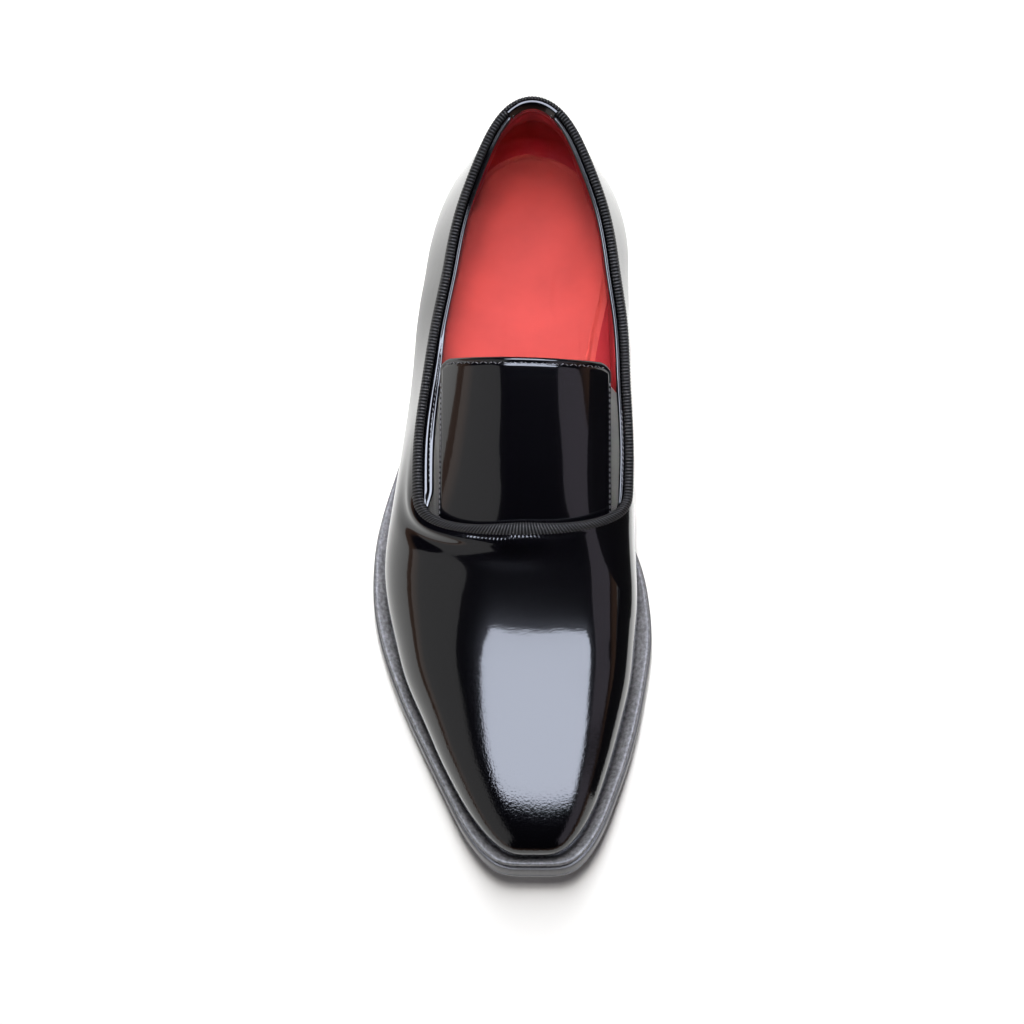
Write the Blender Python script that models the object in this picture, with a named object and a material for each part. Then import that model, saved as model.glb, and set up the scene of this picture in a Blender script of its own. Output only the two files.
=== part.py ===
"""Right-foot patent leather loafer with a ribbon-bound collar, standing empty on its sole.

Toe towards -Y, heel towards +Y, lateral side -X, medial side +X, floor at Z = 0.
Tables and sizes are in millimetres. "along" is the distance from the back of the
sole to a section, "across" is X from the middle of the sole.
"""
import math

import bmesh
import bpy
import numpy as np

MM = 0.001
GAP = 0.3                       # air between pieces that touch

# Sole unit
SOLE_LENGTH = 306.0
HEEL_HEIGHT = 18.0
HEEL_BREAST = 74.0              # along, front face of the heel
WAIST_BACK = 70.0               # along, where the heel's level starts to fall
TREAD_BACK, TREAD_FRONT = 162.0, 204.0      # flat stretch under the ball
TOE_SPRING = 11.0
SOLE_THICK = 6.8
WELT_THICK = 3.0
WELT_STEP = 1.3                 # sole edge beyond the welt
WELT_SEAT = 1.9                 # welt's inner edge inside the feather line
INSOLE_INSET = 2.6              # insole edge inside the feather line
INSOLE_RISE = 1.6               # insole top above the feather line
INSOLE_ROUND = 0.7

# Upper
WALL = 2.2
TOE_FRONT = 300.3               # along, front of the upper
HEEL_BACK = 1.6                 # along, back of the upper
TOE_ROLL = 38.0                 # length over which the toe rolls down to its front
CORNER = 160.0                  # along, corners of the throat
THROAT_DEPTH = 20.3             # throat's edge ahead of its corners
THROAT_SQUARE = 2.3
SIDE_BLEND = 42.0               # quarters run into the vamp over this length
RIM_BLEND = 32.0                # collar runs into the throat's corners over this length
SHOULDER = 0.5                  # part of the half width over which the shoulders change
QUARTER_RISE = 0.92             # power of the quarters' section
TUCK_TURN = math.radians(65.0)  # how far the wall turns under at the feather line

# Collar and tongue
BINDING = 3.5                   # ribbon roll, both ways
FACING_OUT = 3.2                # facing's outer face inside the upper's outer face
FACING_TOP, FACING_LOW = 3.5, -6.5          # facing, from the upper's rim
FACING_ROUND = 0.7
FACING_END = 0.004              # facing stops this part of the perimeter behind the corners
TAB_WIDTH, TAB_LEG, TAB_THICK = 25.0, 5.0, 0.8    # width along the rim
TONGUE_THICK = 2.2
TONGUE_MID, TONGUE_HALF = 6.4, 34.2
TONGUE_TIP, TONGUE_ROOT = 117.8, 196.0      # along
TONGUE_BOW = 6.5                # tip's corners behind its middle
TONGUE_SLANT = 0.8              # medial end of the tip ahead of its middle
TONGUE_CORNER = 5.0
TONGUE_ARCH = 2.0               # power of its section
GORE_DEPTH = 1.6
GORE_DROP = 3.4                 # gore's inner edge below the tongue
GORE_LAP = 5.0                  # how far it goes under the tongue
GORE_INSIDE = 1.6               # its outer edge inside the upper's wall
GORE_LOW = 13.0                 # its outer edge below the collar
GORE_CROWN = 0.8
GORE_BACK, GORE_FRONT = 117.0, 166.0        # along

# Facets of each piece, and steps of the curves they are taken from
SOLE_STEPS, INSOLE_STEPS, HEEL_STEPS = 44, 36, 15
QUARTER_STEPS, VAMP_STEPS, WALL_ROWS = 24, 48, 16
ROW_CROWD = 1.4                 # rows of the wall crowd towards the feather line
BINDING_STEPS, BINDING_SIDES = 34, 8
FACING_STEPS, TAB_STEPS, GORE_STEPS = 61, 11, 9
TONGUE_STEPS, TONGUE_ROWS = 17, 15
DENSE, TUCK_DENSE, RUN_DENSE = 1500, 40, 260
HALVINGS = 50
RAY_REACH = 160.0
NUDGE, NUDGE_PLACE, NUDGE_ROW = 0.2, 0.0015, 0.004
SHARP_ANGLE = math.radians(40.0)

# Plan of the sole edge: the ends are rounded off by END_SHAPE
SOLE_PLAN = np.array([
    # along, lateral, medial
    (0.0, -30.0, 43.0),
    (60.0, -32.5, 42.5),
    (90.0, -37.0, 36.0),
    (110.0, -40.0, 32.5),
    (130.0, -45.0, 34.0),
    (148.0, -50.9, 40.0),
    (165.0, -55.0, 47.5),
    (180.0, -56.2, 52.8),
    (191.0, -55.9, 54.8),
    (207.0, -53.2, 55.9),
    (224.0, -48.0, 54.1),
    (241.0, -41.2, 51.2),
    (258.0, -33.4, 47.2),
    (274.0, -25.8, 42.2),
    (306.0, -10.4, 30.8)])

# Sections of the upper: its widest line, how far that draws in and stands above the
# feather line, the ridge over it and how round each shoulder is
LAST = np.array([
    # along, lateral, medial, tuck_lat, tuck_med, rise_lat, rise_med, ridge, lean, soft_lat, soft_med
    (0.0, -33.3, 47.7, 3.8, 5.2, 13.0, 13.0, 120.0, -0.17, 0.50, 0.28),
    (60.0, -34.9, 46.6, 3.4, 5.6, 14.0, 16.0, 112.0, -0.17, 0.50, 0.28),
    (82.0, -38.0, 46.8, 3.4, 10.1, 15.0, 22.0, 106.0, -0.17, 0.50, 0.28),
    (108.0, -40.4, 47.6, 3.3, 15.0, 15.0, 25.0, 98.0, -0.17, 0.50, 0.28),
    (134.0, -44.3, 48.6, 3.0, 13.0, 14.0, 22.0, 88.0, -0.17, 0.50, 0.28),
    (160.0, -48.5, 49.3, 2.5, 5.0, 12.0, 16.0, 75.5, -0.17, 0.50, 0.27),
    (177.0, -51.0, 49.6, 2.1, 2.4, 10.0, 11.5, 65.8, -0.16, 0.50, 0.33),
    (194.0, -49.9, 50.6, 2.0, 2.0, 9.0, 9.0, 57.6, -0.14, 0.50, 0.39),
    (211.0, -46.2, 49.5, 1.9, 1.9, 8.0, 8.0, 51.2, -0.11, 0.50, 0.43),
    (228.0, -41.5, 47.8, 1.7, 1.7, 7.4, 7.4, 46.2, -0.08, 0.49, 0.44),
    (244.0, -34.6, 44.4, 1.6, 1.6, 6.8, 6.8, 42.4, -0.05, 0.48, 0.45),
    (261.0, -27.2, 40.1, 1.4, 1.4, 6.2, 6.2, 39.4, -0.03, 0.47, 0.45),
    (278.0, -18.6, 34.8, 1.3, 1.3, 5.6, 5.6, 37.4, -0.01, 0.46, 0.45),
    (299.0, -7.6, 27.6, 1.2, 1.2, 5.0, 5.0, 35.6, 0.0, 0.45, 0.45)])

# Cut edge of the collar, from the back of the heel to the corners of the throat
COLLAR = np.array([
    # along, lateral, medial, height
    (6.4, -21.0, 38.0, 87.0),
    (25.0, -20.3, 37.6, 80.0),
    (45.0, -23.2, 40.1, 70.5),
    (66.0, -26.3, 42.5, 64.0),
    (90.0, -31.2, 45.9, 59.5),
    (115.0, -35.0, 47.2, 56.0),
    (140.0, -38.0, 48.4, 52.8),
    (160.0, -38.2, 48.4, 50.8)])

# Tongue's middle line and how far its edges hang below it
TONGUE = np.array([
    # along, middle, hang
    (104.0, 98.5, 26.0),
    (115.0, 94.4, 24.5),
    (140.0, 82.4, 20.5),
    (160.0, 71.6, 17.0),
    (179.0, 60.2, 13.0),
    (200.0, 50.0, 11.0)])

# Thickness of the facing by its place on the perimeter, below 0 on the medial side
FACING = np.array([
    # place, thick
    (-0.30, 1.8),
    (-0.05, 1.8),
    (0.05, 1.6),
    (0.12, 1.8),
    (0.18, 2.2),
    (0.21, 3.3),
    (0.25, 4.2),
    (0.30, 4.8)])

# Rounded ends: power and squareness of each
END_SHAPE = {
    "heel": (2.0, 2.0),
    "sole_toe": (2.6, 4.8),
    "upper_toe": (2.6, 3.8),
    "roll": (2.6, 2.0)}
HEEL_START, COLLAR_START, TOE_START = 60.0, 66.0, 273.0
SOLE_TOE_START = 280.0

# Outsole edge, from its bottom to its top: inset and rise, with a fine groove
SOLE_EDGE = np.array([
    # inset, rise
    (1.0, 0.0),
    (0.2, 0.5),
    (0.0, 1.5),
    (0.4, 1.8),
    (0.0, 2.1),
    (0.0, 6.2),
    (0.5, SOLE_THICK)])

# Welt's outer edge and the heel's sides, from bottom to top
WELT_EDGE = np.array([
    # inset, rise
    (0.3, 0.0),
    (0.0, 1.05),
    (0.0, 2.1),
    (0.27, 2.73),
    (0.9, WELT_THICK)])
HEEL_EDGE = np.array([
    # inset, rise
    (2.5, 0.0),
    (1.5, 0.8),
    (1.0, HEEL_HEIGHT - GAP)])

MATERIALS = {
    # name: base colour, roughness, coat
    "patent_leather": ((0.006, 0.006, 0.008, 1.0), 0.10, 1.0),
    "ribbed_ribbon": ((0.012, 0.012, 0.013, 1.0), 0.75, 0.0),
    "elastic": ((0.030, 0.030, 0.032, 1.0), 0.85, 0.0),
    "sock_leather": ((0.560, 0.060, 0.060, 1.0), 0.50, 0.0),
    "welt_leather": ((0.020, 0.020, 0.023, 1.0), 0.55, 0.0),
    "sole_rubber": ((0.030, 0.030, 0.034, 1.0), 0.45, 0.0)}


def natural_spline(knots, values):
    """Smooth curve through a table's column, with straight ends."""
    count = len(knots)
    gaps = np.diff(knots)
    slopes = np.diff(values) / gaps
    system = np.eye(count)
    target = np.zeros(count)
    for i in range(1, count - 1):
        system[i, i - 1:i + 2] = gaps[i - 1], 2 * (gaps[i - 1] + gaps[i]), gaps[i]
        target[i] = 6 * (slopes[i] - slopes[i - 1])
    bend = np.linalg.solve(system, target)

    def curve(at):
        at = np.clip(np.asarray(at, float), knots[0], knots[-1])
        i = np.clip(np.searchsorted(knots, at) - 1, 0, count - 2)
        left, right = at - knots[i], knots[i + 1] - at
        return ((bend[i] * right ** 3 + bend[i + 1] * left ** 3) / (6 * gaps[i])
                + (values[i] / gaps[i] - bend[i] * gaps[i] / 6) * right
                + (values[i + 1] / gaps[i] - bend[i + 1] * gaps[i] / 6) * left)
    return curve


def columns_of(table):
    """One spline for each column of a table, by its first column."""
    return [natural_spline(table[:, 0], table[:, i]) for i in range(1, table.shape[1])]


def smooth_step(low, high, at):
    """0 below low, 1 above high, eased between."""
    part = np.clip((at - low) / (high - low), 0.0, 1.0)
    return part * part * (3.0 - 2.0 * part)


def end_round(along, start, end, shape):
    """1 along the sides, falling to 0 at a rounded end."""
    power, square = shape
    reach = np.clip((along - start) / (end - start), 0.0, 1.0)
    return (1.0 - reach ** power) ** (1.0 / square)


class Plan:
    """A closed outline seen from above, as two sides that meet at rounded ends."""

    def __init__(self, lateral, medial, heel, toe=None):
        self.lateral, self.medial = lateral, medial
        self.heel, self.toe = heel, toe

    def middle_and_half(self, along):
        lateral, medial = self.lateral(along), self.medial(along)
        half = (medial - lateral) / 2 * end_round(along, *self.heel, END_SHAPE["heel"])
        if self.toe:
            half = half * end_round(along, *self.toe)
        return (lateral + medial) / 2, half

    def side_line(self, side, front):
        """Dense points of one side from the heel's back to the section at front."""
        ease = (1.0 - np.cos(np.linspace(0.0, math.pi, DENSE))) / 2
        back = self.heel[1]
        along = back + (front - back) * ease
        middle, half = self.middle_and_half(along)
        return np.stack([middle + side * half, along], axis=1)


def by_length(line, fractions):
    """Points of a line at fractions of its length."""
    steps = np.linalg.norm(np.diff(line, axis=0), axis=1)
    length = np.concatenate([[0.0], np.cumsum(steps)])
    at = np.asarray(fractions) * length[-1]
    return np.stack([np.interp(at, length, line[:, i]) for i in range(line.shape[1])], axis=-1)


SOLE_LAT, SOLE_MED = columns_of(SOLE_PLAN)
(LAST_LAT, LAST_MED, TUCK_LAT, TUCK_MED, RISE_LAT, RISE_MED,
 RIDGE, LEAN, SOFT_LAT, SOFT_MED) = columns_of(LAST)
COLLAR_LAT, COLLAR_MED, COLLAR_HEIGHT = columns_of(COLLAR)
TONGUE_MIDDLE, TONGUE_HANG = columns_of(TONGUE)
FACING_THICK, = columns_of(FACING)

SOLE = Plan(SOLE_LAT, SOLE_MED, (HEEL_START, 0.0),
            (SOLE_TOE_START, SOLE_LENGTH, END_SHAPE["sole_toe"]))
SWELL = Plan(LAST_LAT, LAST_MED, (HEEL_START, HEEL_BACK),
             (TOE_START, TOE_FRONT, END_SHAPE["upper_toe"]))
RIM = Plan(COLLAR_LAT, COLLAR_MED, (COLLAR_START, COLLAR[0, 0]))

# Perimeter of the upper, from the heel's back by the lateral side, toe and medial side
LATERAL_END, MEDIAL_START = 0.3, 0.7
THROAT_MIDDLE = (COLLAR_LAT(CORNER) + COLLAR_MED(CORNER)) / 2
THROAT_HALF = (COLLAR_MED(CORNER) - COLLAR_LAT(CORNER)) / 2


def sole_bottom(along):
    """Height of the outsole's underside: heel, waist, flat tread and toe spring."""
    waist = smooth_step(TREAD_BACK, WAIST_BACK, along)
    spring = np.clip((along - TREAD_FRONT) / (SOLE_LENGTH - TREAD_FRONT), 0.0, None)
    return HEEL_HEIGHT * waist + TOE_SPRING * spring ** 2


def sole_top(along):
    return sole_bottom(along) + SOLE_THICK


def welt_top(along):
    return sole_top(along) + GAP + WELT_THICK


def feather(along):
    """Height of the line where the upper meets the welt."""
    return welt_top(along) + GAP


def swell_height(across_part, along):
    """Height of the upper's widest line, from -1 on the lateral side to 1 on the medial."""
    medial = (across_part + 1.0) / 2.0
    return feather(along) + RISE_LAT(along) + (RISE_MED(along) - RISE_LAT(along)) * medial


def vamp_height(across, along):
    """Outer face of the vamp as a height over the plan: a leaning arch with a rolled toe."""
    middle, half = SWELL.middle_and_half(along)
    part = np.clip((across - middle) / np.maximum(half, 1e-6), -1.0, 1.0)
    bent = part + LEAN(along) * (1.0 - part ** 2)
    medial = smooth_step(-SHOULDER, SHOULDER, bent)
    soft = SOFT_LAT(along) + (SOFT_MED(along) - SOFT_LAT(along)) * medial
    arch = np.clip(1.0 - bent ** 2, 0.0, 1.0) ** soft
    roll = end_round(along, TOE_FRONT - TOE_ROLL, TOE_FRONT, END_SHAPE["roll"])
    low = swell_height(part, along)
    return low + (RIDGE(along) - low) * arch * roll


def ray_point(angle, distance):
    """Plan point seen from the middle of the throat's corners, angle 0 towards the toe."""
    return np.stack([THROAT_MIDDLE + distance * np.sin(angle),
                     CORNER + distance * np.cos(angle)], axis=-1)


def ray_to_swell(angle):
    """Distance from the throat's middle to the widest line, found by halving."""
    near, far = np.zeros_like(angle), np.full_like(angle, RAY_REACH)
    for _ in range(HALVINGS):
        distance = (near + far) / 2
        across, along = ray_point(angle, distance).T
        middle, half = SWELL.middle_and_half(along)
        inside = (np.abs(across - middle) < half) & (along < TOE_FRONT)
        near, far = np.where(inside, distance, near), np.where(inside, far, distance)
    return (near + far) / 2


def ray_to_throat(angle):
    """Distance from the throat's middle to its cut edge, a squared half round."""
    wide = np.abs(np.sin(angle) / THROAT_HALF) ** THROAT_SQUARE
    deep = np.abs(np.cos(angle) / THROAT_DEPTH) ** THROAT_SQUARE
    return (wide + deep) ** (-1.0 / THROAT_SQUARE)


def even_rays():
    """Angles of the vamp's rays against fractions of the outline that they reach."""
    angle = np.linspace(-math.pi / 2, math.pi / 2, DENSE)
    reached = ray_point(angle, ray_to_swell(angle))
    steps = np.linalg.norm(np.diff(reached, axis=0), axis=1)
    length = np.concatenate([[0.0], np.cumsum(steps)])
    return length / length[-1], angle


RAY_PART, RAY_ANGLE = even_rays()
SIDE_LINES = {
    (name, side): plan.side_line(side, CORNER)
    for name, plan in (("swell", SWELL), ("rim", RIM)) for side in (-1, 1)}


def rim_and_swell(place):
    """Plan points of the cut edge and the widest line at places round the perimeter."""
    place = np.mod(place, 1.0)
    rim, swell = np.zeros((len(place), 2)), np.zeros((len(place), 2))
    lateral, medial = place < LATERAL_END, place > MEDIAL_START
    vamp = ~(lateral | medial)
    for chosen, side, part in (
            (lateral, -1, place / LATERAL_END),
            (medial, 1, (1.0 - place) / (1.0 - MEDIAL_START))):
        rim[chosen] = by_length(SIDE_LINES["rim", side], part[chosen])
        swell[chosen] = by_length(SIDE_LINES["swell", side], part[chosen])
    part = (place[vamp] - LATERAL_END) / (MEDIAL_START - LATERAL_END)
    angle = np.interp(part, RAY_PART, RAY_ANGLE)
    rim[vamp] = ray_point(angle, ray_to_throat(angle))
    swell[vamp] = ray_point(angle, ray_to_swell(angle))
    return rim, swell


def perimeter(quarter_steps, vamp_steps):
    """Places round the perimeter, spread evenly over each quarter and over the vamp."""
    return np.concatenate([
        np.linspace(0.0, LATERAL_END, quarter_steps, endpoint=False),
        np.linspace(LATERAL_END, MEDIAL_START, vamp_steps, endpoint=False),
        np.linspace(MEDIAL_START, 1.0, quarter_steps, endpoint=False)])


def collar_height(side, along):
    """Height of the cut edge behind the throat's corners, on the side that is given by its sign."""
    corner = COLLAR_LAT(CORNER) if side < 0 else COLLAR_MED(CORNER)
    lift_there = vamp_height(corner, CORNER) - COLLAR_HEIGHT(CORNER)
    return COLLAR_HEIGHT(along) + lift_there * smooth_step(CORNER - RIM_BLEND, CORNER, along)


def outward(loop_before, loop_after):
    """Plan normal of a loop that runs heel, lateral, toe, medial."""
    step = loop_after - loop_before
    normal = np.stack([-step[:, 1], step[:, 0]], axis=1)
    return normal / np.linalg.norm(normal, axis=1)[:, None]


def upper_face(places, rows):
    """Outer face of the upper: for each place, points from the feather line to the rim."""
    places = np.asarray(places, float)
    rim, swell = rim_and_swell(places)
    normal = outward(rim_and_swell(places - NUDGE_PLACE)[1], rim_and_swell(places + NUDGE_PLACE)[1])
    grid = np.zeros((len(places), len(rows), 3))
    turn = np.linspace(TUCK_TURN, 0.0, TUCK_DENSE, endpoint=False)
    root_run = np.linspace(0.0, 1.0, RUN_DENSE)
    run = root_run ** 2
    for i in range(len(places)):
        along = swell[i, 1]
        middle, half = SWELL.middle_and_half(along)
        part = np.clip((swell[i, 0] - middle) / max(half, 1e-6), -1.0, 1.0)
        medial = (part + 1.0) / 2.0
        tuck = TUCK_LAT(along) + (TUCK_MED(along) - TUCK_LAT(along)) * medial
        low, high = feather(along), swell_height(part, along)
        drawn = tuck * (1.0 - np.cos(turn)) / (1.0 - math.cos(TUCK_TURN))
        under = np.column_stack([
            swell[i] - drawn[:, None] * normal[i],
            high - (high - low) * np.sin(turn) / math.sin(TUCK_TURN)])
        plan = swell[i] + (rim[i] - swell[i]) * run[:, None]
        height = vamp_height(plan[:, 0], plan[:, 1])
        if rim[i, 1] < CORNER:
            edge = collar_height(part, rim[i, 1])
            on_vamp = height + (edge - height[-1]) * root_run
            on_quarter = high + (edge - high) * run ** QUARTER_RISE
            vamp_share = smooth_step(CORNER - SIDE_BLEND, CORNER, rim[i, 1])
            height = on_quarter + (on_vamp - on_quarter) * vamp_share
        grid[i] = by_length(np.vstack([under, np.column_stack([plan, height])]), rows)
    return grid


def face_normals(places, rows):
    """Unit normals of the upper's outer face, pointing out of the shoe."""
    places, rows = np.asarray(places), np.asarray(rows)
    around = upper_face(places + NUDGE_PLACE, rows) - upper_face(places - NUDGE_PLACE, rows)
    above, below = np.clip(rows + NUDGE_ROW, 0, 1), np.clip(rows - NUDGE_ROW, 0, 1)
    normal = np.cross(upper_face(places, above) - upper_face(places, below), around)
    return normal / np.linalg.norm(normal, axis=2)[:, :, None]


def rim_frames(places):
    """Cut edge of the upper, with the way out of the leather and the way past its edge."""
    rows = np.array([1.0 - 4 * NUDGE_ROW, 1.0])
    points = upper_face(places, rows)
    normal = face_normals(places, rows)[:, 1]
    past = points[:, 1] - points[:, 0]
    past = past - normal * np.sum(past * normal, axis=1)[:, None]
    return points[:, 1], normal, past / np.linalg.norm(past, axis=1)[:, None]


def to_world(points):
    """Millimetres across, along and up, to metres in the part's frame."""
    points = np.asarray(points, float)
    return np.stack([points[..., 0], SOLE_LENGTH / 2 - points[..., 1], points[..., 2]], axis=-1) * MM


def make_material(name):
    colour, roughness, coat = MATERIALS[name]
    material = bpy.data.materials.new(name)
    material.use_nodes = True
    shader = material.node_tree.nodes["Principled BSDF"]
    shader.inputs["Base Color"].default_value = colour
    shader.inputs["Roughness"].default_value = roughness
    shader.inputs["Coat Weight"].default_value = coat
    material.diffuse_color = colour
    return material


def add_object(name, bm, material):
    """Turns a closed bmesh into a named, smooth shaded object."""
    bmesh.ops.recalc_face_normals(bm, faces=bm.faces[:])
    mesh = bpy.data.meshes.new(name)
    bm.to_mesh(mesh)
    bm.free()
    mesh.shade_smooth()
    mesh.set_sharp_from_angle(angle=SHARP_ANGLE)
    mesh.materials.append(material)
    item = bpy.data.objects.new(name, mesh)
    bpy.context.scene.collection.objects.link(item)
    return item


def join_rings(rings, closed):
    """Skins rings of points, closed into a torus or ended by flat caps."""
    bm = bmesh.new()
    loops = [[bm.verts.new(point) for point in to_world(ring)] for ring in rings]
    size = len(loops[0])
    pairs = list(zip(loops, loops[1:] + loops[:1])) if closed else list(zip(loops, loops[1:]))
    for one, two in pairs:
        for j in range(size):
            bm.faces.new((one[j], one[(j + 1) % size], two[(j + 1) % size], two[j]))
    if not closed:
        bm.faces.new(loops[0])
        bm.faces.new(loops[-1])
    return bm


def join_slab(loops):
    """Skins loops stacked from bottom to top, each heel, lateral, toe, medial, and closes both
    ends of the stack with strips across the foot."""
    bm = bmesh.new()
    rows = [[bm.verts.new(point) for point in to_world(loop)] for loop in loops]
    size = len(rows[0])
    for low, high in zip(rows, rows[1:]):
        for j in range(size):
            bm.faces.new((low[j], low[(j + 1) % size], high[(j + 1) % size], high[j]))
    for row in (rows[0], rows[-1]):
        bm.faces.new((row[0], row[1], row[-1]))
        for j in range(1, size // 2 - 1):
            bm.faces.new((row[j], row[j + 1], row[-j - 1], row[-j]))
        middle = size // 2
        bm.faces.new((row[middle - 1], row[middle], row[middle + 1]))
    return bm


def closed_loop(plan, count):
    """Outline of a plan as heel, lateral, toe, medial, evenly spaced on each side."""
    part = np.linspace(0.0, 1.0, count + 1)
    lateral = by_length(plan.side_line(-1, plan.toe[1]), part)
    medial = by_length(plan.side_line(1, plan.toe[1]), part)
    return np.vstack([lateral, medial[-2:0:-1]])


def feather_loop(count):
    """The feather line as heel, lateral, toe, medial, evenly spaced on each side."""
    part = np.linspace(0.0, 1.0, count + 1)
    dense = upper_face(np.linspace(0.0, 1.0, 401), [0.0])[:, 0, :2]
    toe = int(np.argmax(dense[:, 1]))
    lateral = by_length(dense[:toe + 1], part)
    medial = by_length(dense[toe:][::-1], part)
    return np.vstack([lateral, medial[-2:0:-1]])


def inset_loop(loop, inset):
    """Draws a loop in by a distance, along its own normals."""
    return loop - inset * outward(np.roll(loop, 1, axis=0), np.roll(loop, -1, axis=0))


def lean_back(loop, rise):
    """Shifts a loop that lies above the sole's underside, so that edges stand square to it."""
    slope = (sole_bottom(loop[:, 1] + NUDGE) - sole_bottom(loop[:, 1] - NUDGE)) / (2 * NUDGE)
    return np.column_stack([loop[:, 0], loop[:, 1] - rise * np.maximum(slope, 0.0)])


def lift(loop, height):
    """Stands a plan loop at heights that follow its place along the shoe."""
    return np.column_stack([loop, height(loop[:, 1])])


def make_outsole(material):
    loop = closed_loop(SOLE, SOLE_STEPS)
    stack = [
        lift(lean_back(inset_loop(loop, inset), rise),
             lambda along, rise=rise: sole_bottom(along) + rise)
        for inset, rise in SOLE_EDGE]
    return add_object("outsole", join_slab(stack), material)


def make_heel(material):
    """Block under the heel seat, its sides under the sole edge and its breast straight."""
    loop = closed_loop(SOLE, DENSE)
    half = len(loop) // 2
    lateral = loop[:half + 1]
    lateral = lateral[lateral[:, 1] < HEEL_BREAST]
    medial = np.vstack([loop[:1], loop[half + 1:][::-1]])
    medial = medial[medial[:, 1] < HEEL_BREAST]
    part = np.linspace(0.0, 1.0, HEEL_STEPS)
    outline = np.vstack([by_length(lateral, part), by_length(medial, part)[:0:-1]])
    rings = []
    for inset, height in HEEL_EDGE:
        ring = inset_loop(outline, inset)
        ring[:, 1] = np.minimum(ring[:, 1], HEEL_BREAST - inset)
        rings.append(np.column_stack([ring, np.full(len(ring), height)]))
    return add_object("heel", join_rings(rings, closed=False), material)


def make_welt(material):
    """Closed ring between the outsole and the upper, with a rounded outer rim."""
    outer = lean_back(inset_loop(closed_loop(SOLE, SOLE_STEPS), WELT_STEP), SOLE_THICK + WELT_THICK)
    inner = inset_loop(feather_loop(SOLE_STEPS), WELT_SEAT)
    sections = [
        lift(inset_loop(outer, inset), lambda along, rise=rise: sole_top(along) + GAP + rise)
        for inset, rise in WELT_EDGE]
    sections += [lift(inner, welt_top), lift(inner, lambda along: sole_top(along) + GAP)]
    rings = np.stack(sections, axis=1)
    return add_object("welt", join_rings(rings, closed=True), material)


def make_insole(material):
    """Board and sock inside the welt, its top edge softly rounded."""
    loop = inset_loop(feather_loop(INSOLE_STEPS), INSOLE_INSET)
    stack = [
        lift(loop, lambda along: sole_top(along) + GAP),
        lift(loop, lambda along: feather(along) + INSOLE_RISE - INSOLE_ROUND),
        lift(inset_loop(loop, INSOLE_ROUND), lambda along: feather(along) + INSOLE_RISE)]
    return add_object("insole", join_slab(stack), material)


def make_upper(material):
    """Hollow wall: its outer face, its inner face one wall inside and both cut edges."""
    places = perimeter(QUARTER_STEPS, VAMP_STEPS)
    outer_rows = np.linspace(0.0, 1.0, WALL_ROWS) ** ROW_CROWD
    inner_rows = np.append(outer_rows[:0:-2], 0.0)
    outer = upper_face(places, outer_rows)
    inner = upper_face(places, inner_rows) - WALL * face_normals(places, inner_rows)
    return add_object("upper", join_rings(np.concatenate([outer, inner], axis=1), closed=True), material)


def make_binding(material):
    """Ribbon roll on the cut edge, all round the collar and throat."""
    edge, normal, past = rim_frames(perimeter(BINDING_STEPS, BINDING_STEPS))
    turn = (np.arange(BINDING_SIDES) + 0.5) * 2 * math.pi / BINDING_SIDES
    radius = BINDING / 2 / math.cos(math.pi / BINDING_SIDES)
    out, over = radius * np.cos(turn), radius * np.sin(turn)
    middle = edge - normal * WALL / 2 + past * (GAP + BINDING / 2)
    rings = (middle[:, None] + normal[:, None] * out[None, :, None]
             + past[:, None] * over[None, :, None])
    return add_object("collar_binding", join_rings(rings, closed=True), material)


def make_facing(material):
    """Strip inside the ribbon from one corner of the throat round the heel to the other."""
    places = np.linspace(MEDIAL_START - 1.0 + FACING_END, LATERAL_END - FACING_END, FACING_STEPS)
    edge, normal, past = rim_frames(places)
    thick = FACING_THICK(places)
    side_top = FACING_TOP - FACING_ROUND
    rings = []
    for depth, over in (
            (0.0, FACING_LOW), (0.0, side_top), (0.3, FACING_TOP),
            (0.7, FACING_TOP), (1.0, side_top), (1.0, FACING_LOW)):
        inside = FACING_OUT + thick * depth
        rings.append(edge - normal * inside[:, None] + past * over)
    return add_object("collar_facing", join_rings(np.stack(rings, axis=1), closed=False), material)


def make_heel_tab(material):
    """Tab folded over the facing at the back of the heel."""
    near_heel = np.linspace(-LATERAL_END / 2, LATERAL_END / 2, DENSE)
    line = rim_and_swell(near_heel)[0]
    length = np.concatenate([[0.0], np.cumsum(np.linalg.norm(np.diff(line, axis=0), axis=1))])
    middle = np.interp(0.0, near_heel, length)
    places = np.interp(np.linspace(-TAB_WIDTH / 2, TAB_WIDTH / 2, TAB_STEPS) + middle, length, near_heel)
    edge, normal, past = rim_frames(places)
    inside = FACING_OUT + FACING_THICK(places) + GAP
    across_facing = FACING_OUT - inside
    top = FACING_TOP + GAP
    half = TAB_THICK / 2
    rings = []
    for depth, over in (
            (0.0, top - TAB_LEG), (0.0, top), (across_facing, top),
            (across_facing, top + half), (across_facing + half, top + TAB_THICK),
            (half, top + TAB_THICK), (TAB_THICK, top + half), (TAB_THICK, top - TAB_LEG)):
        at = inside + depth
        rings.append(edge - normal * at[:, None] + past * over)
    return add_object("heel_tab", join_rings(np.stack(rings, axis=1), closed=False), material)


def tongue_height(across, along):
    """Outer face of the tongue: an arch of its own that runs in under the vamp's edge."""
    part = np.abs(across - TONGUE_MID) / TONGUE_HALF
    return TONGUE_MIDDLE(along) - TONGUE_HANG(along) * part ** TONGUE_ARCH


def tongue_tip(part):
    """Where the tongue ends, from -1 on its lateral edge to 1 on its medial edge."""
    straight = 1.0 - TONGUE_CORNER / TONGUE_HALF
    round_part = np.clip((np.abs(part) - straight) / (1.0 - straight), 0.0, 1.0)
    tip = TONGUE_TIP - TONGUE_BOW * part ** 2 + TONGUE_SLANT * part
    return tip + TONGUE_CORNER * (1.0 - np.sqrt(1.0 - round_part ** 2))


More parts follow.
